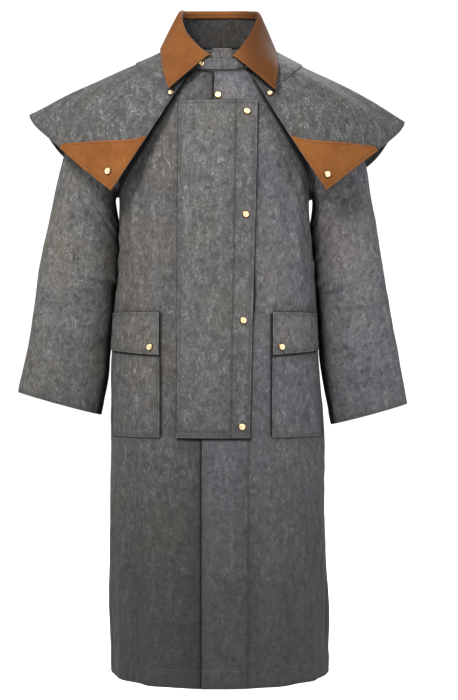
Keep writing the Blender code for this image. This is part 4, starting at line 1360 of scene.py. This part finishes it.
def collar_points(wall):
    """The collar from its inner edge up over the fold and down the leaf."""
    near = ladder(0.0, 0.10, 0.006)
    share = np.concatenate([near, np.linspace(0.10, 0.90, 150)[1:-1], 1 - near[::-1]])
    angle = spread(COLLAR_LOW, COLLAR_HIGH, share)
    fold = fold_point(angle)
    edge = np.moveaxis(table_at(LEAF_EDGE, np.degrees(angle)), 0, -1)
    along, out, up = fold_frame(angle)
    inside = -out * (wall + STAND_GAP)
    halfway, top = (stand_point(angle, np.full(len(angle), part), wall) for part in (0.5, 1.0))
    down = halfway - top
    down = unit(down - along * dot(along, down))
    ends = np.minimum(share, 1 - share)
    band = (INNER_BAND * ease(INNER_BAND_END + ends * INNER_BAND_GROWTH))[:, None]
    profile = [fold + inside * reach + down * band * part for reach, part in INNER_ROWS]
    profile.append(fold + inside * UNDER_FOLD[0] + up * UNDER_FOLD[1])
    profile.append(fold + out * OVER_FOLD[0] + up * OVER_FOLD[1])
    push = unit(np.cross(edge - fold, along))
    push = np.where(dot(push, out + np.array((0, 0, 0.5))) > 0, push, -push)
    start = fold + out * LEAF_START
    for part in np.linspace(0, 1, LEAF_ROWS + 1)[1:]:
        profile.append(spread(start, edge, part) + push * LEAF_BULGE * math.sin(math.pi * part))
    return smooth_through(np.array(profile), 44)[:, ::-1]


def tab_point(angle, height, lift, wall):
    low, high = (stand_point(angle, np.full(np.shape(angle), end), wall) for end in (0.0, 1.0))
    share = (height - low[..., 2]) / (high[..., 2] - low[..., 2])
    return stand_point(angle, share, wall) + stand_normal(angle, wall) * lift


def cape_surface(station, share, wall):
    """The cape's inside: station round the shoulders, share from neck to hem."""
    station, share = np.broadcast_arrays(np.asarray(station, dtype=float), np.asarray(share, dtype=float))
    row = table_at(CAPE, station)
    angle = np.radians(row[0])
    neck = stand_point(angle, np.full(angle.shape, CAPE_NECK_SHARE), wall)
    neck = neck + stand_normal(angle, wall) * (wall + CAPE_NECK_GAP)
    middle, hem = np.moveaxis(row[1:4], 0, -1), np.moveaxis(row[4:7], 0, -1)
    share = share[..., None]
    upper = neck * (1 - share) * (1 - 2 * share) + middle * 4 * share * (1 - share)
    return upper + hem * share * (2 * share - 1)


def cape_crease(station, share):
    total = np.zeros(np.broadcast(station, share).shape)
    for at, middle, half_length, half_width, turn, height in CAPE_CREASES:
        across = (station - at - turn * (share - middle)) / half_length
        total += height * np.exp(-(across**2)) * bell((share - middle) / half_width)
    total += 0.0006 * (1 + undulation(station * 0.09, share * 0.22, 0.045, 9))
    return total * ease((share - 0.12) / 0.25) * bpy.context.scene.coat_sizes.crease_depth


def cape_point(station, share, wall, lift=0.0):
    station, share = np.broadcast_arrays(np.asarray(station, dtype=float), np.asarray(share, dtype=float))
    step = 0.02
    low, high = np.maximum(station - step, 0), np.minimum(station + step, CAPE_STATIONS)
    around = cape_surface(high, share, wall) - cape_surface(low, share, wall)
    near, far = np.maximum(share - step, 0), np.minimum(share + step, 1)
    down = cape_surface(station, far, wall) - cape_surface(station, near, wall)
    normal = unit(np.cross(around, down))
    amount = cape_crease(station, share) + lift
    return cape_surface(station, share, wall) + normal * np.asarray(amount)[..., None], normal


def pocket_angle(side, level, share):
    seam = front_side_angle(level)
    share = share * POCKET_REACH
    if side == "left":
        return spread(front_angle(level, POCKET_EDGE_LEFT), seam, share)
    return spread(front_angle(level, POCKET_EDGE_RIGHT), mirrored(seam), share)


def pocket_lift(level, share):
    up = (level - POCKET_BOTTOM) / (POCKET_TOP - POCKET_BOTTOM)
    full = np.sin(np.pi * np.minimum(share, 1.0)) * np.sin(np.pi * np.minimum(up, 1.0) * POUCH_REACH)
    return LAYER + POUCH * full


def turned(points, side):
    """The grid with its columns the other way round on one side, so that it faces out."""
    return points[:, ::-1] if side == "right" else points


def length_property(name, text, value, low, high):
    limits = {"default": value, "min": low, "max": high}
    return FloatProperty(name=name, description=text, unit="LENGTH", precision=4, **limits)


def colour_property(name, text, value):
    limits = {"default": value, "size": 3, "min": 0.0, "max": 2.0}
    return FloatVectorProperty(name=name, description=text, subtype="COLOR", **limits)


class CoatSizes(bpy.types.PropertyGroup):
    """Sizes of the cloth, its creases and its stitches."""

    wall: length_property("Canvas", "Thickness of the canvas", 0.0016, 0.001, 0.003)
    leather: length_property("Leather", "Thickness of the tan leather", 0.0020, 0.001, 0.003)
    grid: length_property("Grid", "Longest step of the cloth's grid", 0.0066, 0.004, 0.02)
    crease_depth: FloatProperty(
        name="Creases", description="How strong the creases are",
        default=1.5, min=0.0, max=2.5, subtype="FACTOR",
    )
    stitch_length: length_property("Stitch", "Length of one stitch", 0.0034, 0.002, 0.006)
    stitch_gap: length_property("Stitch gap", "Gap between two stitches", 0.0013, 0.0005, 0.004)
    stitch_width: length_property("Thread", "Width of the thread", 0.0008, 0.0004, 0.0015)


class CoatColours(bpy.types.PropertyGroup):
    """Colours of the cloth, leather, metal, thread and studio."""

    canvas: colour_property("Canvas", "Ground colour of the canvas", (0.0335, 0.0335, 0.0345))
    warmth: colour_property("Warm patches", "Multiplies the canvas in its warm patches", (1.12, 1.06, 0.90))
    canvas_pale: colour_property("Worn canvas", "Pale crazing and rubbed edges", (0.088, 0.088, 0.091))
    # Also the colour of the painted shade and painted shadows on the canvas
    canvas_dark: colour_property("Dark canvas", "Dark mottling of the canvas", (0.0105, 0.0105, 0.0110))
    tan: colour_property("Tan", "Tan leather", (0.100, 0.036, 0.0080))
    # Also the colour of the painted shade on the collar's side towards the wearer's left
    tan_dark: colour_property("Dark tan", "Darker clouds of the leather", (0.080, 0.027, 0.0062))
    tan_pale: colour_property("Rubbed tan", "Rubbed places of the leather", (0.140, 0.056, 0.0190))
    brass: colour_property("Brass", "Snaps", (0.560, 0.430, 0.250))
    # The colour of the painted dark reflection on the snaps' rims
    brass_dark: colour_property("Brass rim", "Rims of the snaps", (0.060, 0.032, 0.011))
    thread_grey: colour_property("Grey thread", "Thread on the canvas", (0.034, 0.034, 0.036))
    thread_tan: colour_property("Tan thread", "Thread on the leather", (0.100, 0.034, 0.011))
    studio: colour_property("Studio", "Floor and surroundings", (0.950, 0.950, 0.950))


class COAT_OT_body_panels(bpy.types.Operator):
    """Make the back and the two lapped fronts"""

    bl_idname = "coat.body_panels"
    bl_label = "Back and fronts"

    def execute(self, context):
        sizes = context.scene.coat_sizes
        levels = panel_levels(sizes.grid)
        self.make_back(levels, sizes)
        self.make_left(levels, sizes)
        self.make_right(levels, sizes)
        return {"FINISHED"}

    def make_back(self, levels, sizes):
        start = back_side_angle(levels)
        share = np.concatenate([[0, 0.004, 0.010], np.linspace(0.02, 0.98, 96), [0.990, 0.996, 1]])
        back = Cloth(body_point(levels, spread(start, math.pi - start, share)), sizes.wall)
        back.press(sewn(back.bottom, HEM_STITCH) + rolled(back.nearest(("left", "right"))))
        lines = [back.line("bottom", HEM_STITCH, SEAM_TRIM)]
        lines += back.lines(("left", "right"), EDGE_STITCH, SEAM_TRIM)
        add_cloth("back", back, "canvas_body", lines)

    def make_left(self, levels, sizes):
        edge = lap_edge(levels)
        near = np.array((*NEAR_EDGE, *ACROSS_FACING))
        side = front_side_angle(levels)
        inner = front_angle(levels, edge + near)
        rest = spread(inner[:, -1:], side, np.array([*np.linspace(0, 0.97, 34)[1:], 0.985, 0.994, 1.0]))
        angle = np.hstack([inner, rest])
        neck = ease((levels - EVEN_START) / EVEN_REACH)
        share = np.linspace(0, 1, angle.shape[1])
        even = spread(front_angle(levels, edge), side, share)
        angle = spread(angle, even, neck)
        x = body_section(levels, angle)[..., 0]
        front = Cloth(body_point(levels, angle, lap_lift(x)), sizes.wall)
        facing = sewn(front.left, FACING_STITCH, FACING_THICK)
        facing = np.where(levels < CREASES_START, facing, 0.0)
        front.press(facing + sewn(front.bottom, HEM_STITCH) + rolled(front.right))
        pocket = pocket_distance(x, levels, POCKET_EDGE_LEFT, FAR_OFF)
        # Painted shadow below the collar leaf and beside the cape's front edges
        hung = np.minimum(below_leaf(front.points), beside_cape(front.points, sizes.wall))
        # Painted shade in the facing's stitch groove below the pockets
        grooves = np.abs(front.left - FACING_STITCH)
        grooves = grooves + np.where(levels < POCKET_BOTTOM, GROOVE, FAR_OFF)
        # Painted shadow of the storm flap, the pockets, the collar leaf and the cape on this front, and
        # painted shade in its facing's groove
        front.shade(cover=covered(flap_distance(x, levels), pocket, hung, grooves))
        lines = [front.line("bottom", HEM_STITCH, SEAM_TRIM)]
        lines += front.lines(("left", "right"), EDGE_STITCH, SEAM_TRIM)
        path, normal = front.line("left", FACING_STITCH, SEAM_TRIM)
        below = path[:, 2] < CREASES_START
        lines.append((path[below], normal[below]))
        add_cloth("front_left", front, "canvas_cool", lines)

    def make_right(self, levels, sizes):
        side = front_side_angle(levels)
        share = np.array([0.0, 0.006, 0.015, *np.linspace(0.03, 0.97, 60), 0.985, 0.994, 1.0])
        angle = spread(mirrored(side), front_angle(levels, UNDERLAP_EDGE), share)
        front = Cloth(body_point(levels, angle), sizes.wall)
        front.press(sewn(front.bottom, HEM_STITCH) + rolled(front.left))
        x = body_section(levels, angle)[..., 0]
        pocket = pocket_distance(x, levels, -FAR_OFF, POCKET_EDGE_RIGHT)
        lap = lap_edge(levels) - x
        # Painted shadow below the collar leaf and beside the cape's front edges
        hung = np.minimum(below_leaf(front.points), beside_cape(front.points, sizes.wall))
        # Painted shade on the under front, darkest at the lap's edge
        lee = LAP_PAINTED_SHADE * np.exp(-np.maximum(lap, 0) / LAP_PAINTED_SHADE_FADE)
        # Painted shadow of the storm flap, the pocket, the lap, the collar leaf and the cape on this front
        front.shade(cover=covered(flap_distance(x, levels), pocket, lap, hung), lee=lee)
        lines = [front.line("bottom", HEM_STITCH, SEAM_TRIM)]
        lines += front.lines(("left",), EDGE_STITCH, SEAM_TRIM)
        add_cloth("front_right", front, "canvas_warm", lines)


class COAT_OT_storm_flap(bpy.types.Operator):
    """Make the storm flap over the closure"""

    bl_idname = "coat.storm_flap"
    bl_label = "Storm flap"

    def execute(self, context):
        sizes = context.scene.coat_sizes
        top = float(armhole_level(FLAP_TOP_SHARE))
        fine = [POCKET_BOTTOM + off for off in (0.001, EDGE_STITCH, FLAP_HEM_STITCH)]
        levels = ladder(POCKET_BOTTOM, top, sizes.grid, (*fine, top - EDGE_STITCH))[:, None]
        sewn_edge, free_edge = flap_edges(levels)
        width = free_edge - sewn_edge
        facing = spread(*FLAP_FACING, (levels - top) / (POCKET_BOTTOM - top))
        near = np.array(NEAR_EDGE)
        far = np.array((*NEAR_EDGE, 0.020, 0.028, *np.linspace(0.0340, 0.0445, 8)))
        x = sewn_edge + width * columns(width, near, far, 24)
        flap = Cloth(body_point(levels, front_angle(levels, x), flap_lift(x)), sizes.wall)
        # Painted shade in the stitch grooves of the flap's facing and hem
        hem = np.abs(flap.bottom - FLAP_HEM_STITCH) + 1.2 * GROOVE
        flap.shade(cover=covered(np.abs(flap.right - facing) + GROOVE, hem))
        amount = sewn(flap.right, facing, FACING_THICK) + sewn(flap.bottom, FLAP_HEM_STITCH)
        amount += sewn(flap.top, EDGE_STITCH, EDGE_THICK)
        amount += FLAP_EDGE_RISE * np.exp(-flap.right / FLAP_EDGE_FADE)
        amount += FLAP_HEM_RISE * np.exp(-flap.bottom / FLAP_HEM_FADE)
        amount += sewn(flap.right, EDGE_STITCH, NARROW_THICK) + sewn(flap.left, EDGE_STITCH, EDGE_THICK)
        flap.press(amount)
        lines = [flap.line("right", at, SEAM_TRIM) for at in (EDGE_STITCH, facing[:, 0])]
        lines += [flap.line("left", EDGE_STITCH, SEAM_TRIM), flap.line("bottom", FLAP_HEM_STITCH, EDGE_TRIM)]
        lines += flap.lines(("top",), EDGE_STITCH, EDGE_TRIM)
        add_cloth("storm_flap", flap, "canvas_flap", lines)
        return {"FINISHED"}


class COAT_OT_pockets(bpy.types.Operator):
    """Make the two patch pockets and their flaps"""

    bl_idname = "coat.pockets"
    bl_label = "Pockets"

    def execute(self, context):
        sizes = context.scene.coat_sizes
        near, far = (0, 0.006, 0.020, 0.040, 0.054, 0.064, 0.085), (0.92, 0.94, 0.955, 0.975, 0.99, 1)
        share = np.array((*near, *np.linspace(0.115, 0.885, 24), *far))
        near, far = (0, 0.012, 0.035, 0.060, 0.078, 0.094, 0.12), (0.88, 0.91, 0.935, 0.965, 0.988, 1)
        up = np.array((*near, *np.linspace(0.17, 0.83, 10), *far))[:, None]
        fine = (POCKET_BOTTOM + 0.001, POCKET_BOTTOM + EDGE_STITCH)
        for side in ("left", "right"):
            levels = ladder(POCKET_BOTTOM, POCKET_MOUTH, POCKET_GRID, fine)[:, None]
            points = body_point(levels, pocket_angle(side, levels, share), pocket_lift(levels, share))
            pocket = Cloth(turned(points, side), sizes.wall)
            inner, outer = ("right", "left") if side == "right" else ("left", "right")
            pocket.press(sewn(pocket.nearest((inner, "bottom")), EDGE_STITCH, EDGE_THICK))
            flap_bottom = POCKET_FLAP_BOTTOM + POCKET_FLAP_SLANT * share
            # Painted shadow under the pocket flap's lower edge
            pocket.shade(cover=covered(turned(flap_bottom - levels, side)))
            lines = pocket.lines((inner, "bottom", outer), EDGE_STITCH, EDGE_TRIM)
            finish = "canvas_cool" if side == "left" else "canvas_warm"
            add_cloth(f"pocket_{side}", pocket, finish, lines)
            levels = spread(flap_bottom, POCKET_TOP, up)
            lift = pocket_lift(levels, share) + LAYER + POCKET_FLAP_STAND * (1 - up) ** 2
            points = body_point(levels, pocket_angle(side, levels, share), lift)
            flap = Cloth(turned(points, side), sizes.wall)
            flap.press(sewn(flap.nearest((inner, "bottom", "top")), EDGE_STITCH, EDGE_THICK))
            lines = flap.lines((inner, "bottom", "top"), EDGE_STITCH, EDGE_TRIM)
            add_cloth(f"pocket_flap_{side}", flap, finish, lines)
        return {"FINISHED"}


class COAT_OT_sleeves(bpy.types.Operator):
    """Make the two sleeves"""

    bl_idname = "coat.sleeves"
    bl_label = "Sleeves"

    def execute(self, context):
        sizes = context.scene.coat_sizes
        for node, table, right in (("sleeve_left", SLEEVE_LEFT, False), ("sleeve_right", SLEEVE_RIGHT, True)):
            points = sleeve_points(table, right, sizes.wall)
            sleeve = Cloth(points[:, ::-1] if right else points, sizes.wall, ring=True)
            sleeve.press(sewn(sleeve.top, CUFF_STITCH) + rolled(sleeve.bottom))
            around = np.linspace(0, 360, points.shape[1], endpoint=False)[::-1 if right else 1]
            # Painted shade on the sleeve's inner side, towards the body
            sleeve.shade(lee=ease((SLEEVE_PAINTED_SHADE - np.abs(around - 180)) / SLEEVE_PAINTED_SHADE_FADE))
            lines = [sleeve.line("top", CUFF_STITCH), sleeve.line("bottom", EDGE_STITCH)]
            finish = "canvas_sleeve" if right else "canvas_cool"
            add_cloth(node, sleeve, finish, lines, ("bottom", "top"))
        return {"FINISHED"}


class COAT_OT_collar_stand(bpy.types.Operator):
    """Make the collar stand with the neckband at its front"""

    bl_idname = "coat.collar_stand"
    bl_label = "Collar stand"

    def execute(self, context):
        wall = context.scene.coat_sizes.wall
        stand = Cloth(stand_points(wall), wall)
        # Painted shade on the inside of the stand, behind the neckband
        behind = (stand.points[..., 1] - STAND_PAINTED_SHADE_START) / STAND_PAINTED_SHADE_FADE
        stand.shade(lee=STAND_PAINTED_SHADE * ease(behind))
        lines = [stand.line("bottom", NARROW_STITCH, SEAM_TRIM)]
        add_cloth("collar_stand", stand, "canvas_stand", lines)
        return {"FINISHED"}


class COAT_OT_collar(bpy.types.Operator):
    """Make the tan collar leaf, folded over the stand"""

    bl_idname = "coat.collar"
    bl_label = "Collar"

    def execute(self, context):
        sizes = context.scene.coat_sizes
        leaf = Cloth(collar_points(sizes.wall), sizes.leather)
        lines = [leaf.line("top", EDGE_STITCH, EDGE_TRIM)]
        lines += leaf.lines(("left", "right"), EDGE_STITCH, LEAF_TRIM)
        add_cloth("collar", leaf, "tan_collar", lines)
        return {"FINISHED"}


class COAT_OT_throat_tab(bpy.types.Operator):
    """Make the short tab across the neckband"""

    bl_idname = "coat.throat_tab"
    bl_label = "Throat tab"

    def execute(self, context):
        wall = context.scene.coat_sizes.wall
        x = spread(TAB_RIGHT_END, TAB_LEFT_END, np.linspace(0, 1, 52))[None]
        angle = front_angle(np.full(x.shape, NECK_SEAM), x)
        lowest = stand_point(angle, np.full(x.shape, TAB_LOWEST), wall)[..., 2]
        bottom = np.maximum(TAB_BOTTOM, lowest)
        height = spread(bottom, TAB_TOP, np.linspace(0, 1, 16)[:, None])
        angle = np.broadcast_to(angle, height.shape)
        tab = Cloth(tab_point(angle, height, TAB_LIFT, wall), wall)
        tab.press(sewn(tab.nearest(ALL_SIDES), NARROW_STITCH, NARROW_THICK))
        lines = tab.lines(("bottom", "top", "left"), NARROW_STITCH, TAB_TRIM)
        add_cloth("throat_tab", tab, "canvas_cool", lines)
        return {"FINISHED"}


class COAT_OT_cape(bpy.types.Operator):
    """Make the shoulder cape and the yoke lapped over it"""

    bl_idname = "coat.cape"
    bl_label = "Cape and yoke"

    def execute(self, context):
        wall = context.scene.coat_sizes.wall
        near = np.array((0, 0.01, 0.035, 0.07, 0.10))
        station = np.linspace(0.15, CAPE_STATIONS - 0.15, 196)
        station = np.concatenate([near, station, CAPE_STATIONS - near[::-1]])
        hem = [0.944, 0.951, 0.957, 0.966, 0.980, 0.993, 1.0]
        share = np.concatenate([np.linspace(0, 0.93, 44), hem])[:, None]
        cape = Cloth(cape_point(station, share, wall)[0], wall)
        # Painted shadow below the collar leaf's front edges
        cape.shade(cover=covered(below_leaf(cape.points)))
        fronts = sewn(cape.nearest(("left", "right")), EDGE_STITCH, EDGE_THICK)
        cape.press(sewn(cape.top, CAPE_STITCH, FACING_THICK) + fronts)
        lines = [cape.line("top", CAPE_STITCH, CAPE_TRIM)]
        lines += cape.lines(("left", "right"), EDGE_STITCH, CAPE_TRIM)
        add_cloth("cape", cape, "canvas_cape", lines)
        hem = [0.243, 0.249, 0.255, 0.265, 0.275, YOKE_SHARE]
        share = np.concatenate([np.linspace(0, 0.235, 14), hem])[:, None]
        yoke = Cloth(cape_point(station, share, wall, LAYER)[0], wall)
        # Painted shadow below the collar leaf's front edges
        yoke.shade(cover=covered(below_leaf(yoke.points)))
        yoke.press(sewn(yoke.top, EDGE_STITCH, EDGE_THICK))
        lines = yoke.lines(("top", "left", "right"), EDGE_STITCH, EDGE_TRIM)
        add_cloth("cape_yoke", yoke, "canvas_cape", lines)
        return {"FINISHED"}


class COAT_OT_cape_corners(bpy.types.Operator):
    """Make the tan corner patches of the cape"""

    bl_idname = "coat.cape_corners"
    bl_label = "Cape corners"

    def execute(self, context):
        sizes = context.scene.coat_sizes
        for side in ("left", "right"):
            near = (0, 0.006, 0.02, 0.04, 0.055, 0.07)
            station = CORNER_REACH * np.array((*near, *np.linspace(0.10, 1, 44)))[None]
            down = np.array((0, 0.03, *np.linspace(0.08, 0.90, 22), 0.93, 0.95, 0.98, 1))[:, None]
            top = spread(CORNER_TOP, CORNER_TOP_OUTER, (station / CORNER_REACH) ** 0.8)
            share = spread(top, 1.0, down)
            place = CAPE_STATIONS - station if side == "left" else station
            points = cape_point(place, share, sizes.wall, LAYER)[0]
            corner = Cloth(points[:, ::-1] if side == "left" else points, sizes.leather)
            front = "left" if side == "right" else "right"
            lines = [corner.line("top", EDGE_STITCH, CORNER_TRIM)]
            lines += corner.lines((front,), EDGE_STITCH, CAPE_TRIM)
            lines += corner.lines(("bottom",), NARROW_STITCH, CAPE_TRIM)
            add_cloth(f"cape_corner_{side}", corner, "tan_corner", lines)
        return {"FINISHED"}


class COAT_OT_snaps(bpy.types.Operator):
    """Make the twelve brass ring snaps"""

    bl_idname = "coat.snaps"
    bl_label = "Ring snaps"

    def execute(self, context):
        sizes = context.scene.coat_sizes
        for number, (x, level) in enumerate(FLAP_SNAPS, 1):
            angle = front_angle(np.float64(level), x)
            place = body_point(level, angle, flap_lift(x) + sizes.wall)
            add_snap(f"snap_flap_{number}", place, body_normal(level, angle))
        x, level = FRONT_SNAP
        angle = front_angle(np.float64(level), x)
        add_snap("snap_front", body_point(level, angle, LAYER + sizes.wall), body_normal(level, angle))
        for side in ("left", "right"):
            level, share = np.float64(POCKET_SNAP_LEVEL), POCKET_SNAP_SHARE
            angle = pocket_angle(side, level, share)
            lift = pocket_lift(level, share) + LAYER + sizes.wall + POCKET_FLAP_STAND
            place = body_point(level, angle, lift)
            add_snap(f"snap_pocket_{side}", place, body_normal(level, angle))
            for kind, (reach, share), wall, size in (
                ("cape", CORNER_SNAP[side], sizes.leather, 1.0),
                ("collar", COLLAR_SNAP[side], sizes.wall, SMALL_SNAP),
            ):
                station = reach if side == "right" else CAPE_STATIONS - reach
                place, normal = cape_point(station, share, sizes.wall, LAYER + wall)
                add_snap(f"snap_{kind}_{side}", place, normal, size)
        angle = front_angle(np.float64(NECK_SEAM), TAB_RIGHT_END + TAB_SNAP_INSET)
        place = tab_point(angle, TAB_SNAP_LEVEL, TAB_LIFT + sizes.wall, sizes.wall)
        add_snap("snap_throat", place, stand_normal(angle, sizes.wall), SMALL_SNAP)
        return {"FINISHED"}


class COAT_OT_stage(bpy.types.Operator):
    """Make the pale floor, the studio light and the camera"""

    bl_idname = "coat.stage"
    bl_label = "Studio"

    def execute(self, context):
        scene = context.scene
        studio = scene.coat_colours.studio
        mesh = bpy.data.meshes.new("floor")
        signs = ((-1, -1), (1, -1), (1, 1), (-1, 1))
        corners = [(x * FLOOR_REACH, y * FLOOR_REACH, FLOOR_LEVEL) for x, y in signs]
        mesh.from_pydata(corners, [], [(0, 1, 2, 3)])
        floor = bpy.data.objects.new("floor", mesh)
        scene.collection.objects.link(floor)
        paint = Paint("pale_floor")
        mesh.materials.append(paint.finish(base_color=rgba(studio), roughness=0.9))
        world = bpy.data.worlds.new("studio")
        world.use_nodes = True
        background = world.node_tree.nodes["Background"]
        background.inputs["Color"].default_value = rgba(studio)
        background.inputs["Strength"].default_value = STUDIO_STRENGTH
        scene.world = world
        scene.view_settings.view_transform = "Standard"
        scene.view_settings.exposure = STUDIO_EXPOSURE
        for lamp in LAMPS:
            self.lamp(scene, *lamp)
        camera = bpy.data.objects.new("camera", bpy.data.cameras.new("camera"))
        scene.collection.objects.link(camera)
        camera.location = CAMERA_PLACE
        camera.rotation_euler = (math.radians(90), 0, 0)
        camera.data.sensor_fit = "VERTICAL"
        camera.data.sensor_height = CAMERA_SENSOR
        camera.data.lens = CAMERA_LENS
        scene.camera = camera
        return {"FINISHED"}

    def lamp(self, scene, name, place, size, power, colour):
        light = bpy.data.lights.new(name, "AREA")
        light.shape, light.size = "DISK", size
        light.energy, light.color = power, colour
        lamp = bpy.data.objects.new(name, light)
        scene.collection.objects.link(lamp)
        lamp.location = place
        aim = Vector(LAMPS_AIM) - lamp.location
        lamp.rotation_euler = aim.to_track_quat("-Z", "Y").to_euler()


OPERATORS = (
    COAT_OT_stage, COAT_OT_body_panels, COAT_OT_storm_flap, COAT_OT_pockets, COAT_OT_sleeves,
    COAT_OT_collar_stand, COAT_OT_collar, COAT_OT_throat_tab, COAT_OT_cape,
    COAT_OT_cape_corners, COAT_OT_snaps,
)


class COAT_PT_panel(bpy.types.Panel):
    """Lists the coat's sizes, colours and pieces."""

    bl_label = "Duster Coat"
    bl_idname = "COAT_PT_panel"
    bl_space_type = "VIEW_3D"
    bl_region_type = "UI"
    bl_category = "Coat"

    def draw(self, context):
        for group in (context.scene.coat_sizes, context.scene.coat_colours):
            box = self.layout.box()
            for name in group.bl_rna.properties.keys():
                if name not in ("rna_type", "name"):
                    box.prop(group, name)
        for operator in OPERATORS:
            self.layout.operator(operator.bl_idname)


CLASSES = (CoatSizes, CoatColours, *OPERATORS, COAT_PT_panel)


def register():
    for cls in CLASSES:
        bpy.utils.register_class(cls)
    bpy.types.Scene.coat_sizes = PointerProperty(type=CoatSizes)
    bpy.types.Scene.coat_colours = PointerProperty(type=CoatColours)


def unregister():
    del bpy.types.Scene.coat_sizes
    del bpy.types.Scene.coat_colours
    for cls in reversed(CLASSES):
        bpy.utils.unregister_class(cls)


def main():
    register()
    for operator in OPERATORS:
        group, name = operator.bl_idname.split(".")
        getattr(getattr(bpy.ops, group), name)()


if __name__ == "__main__":
    main()
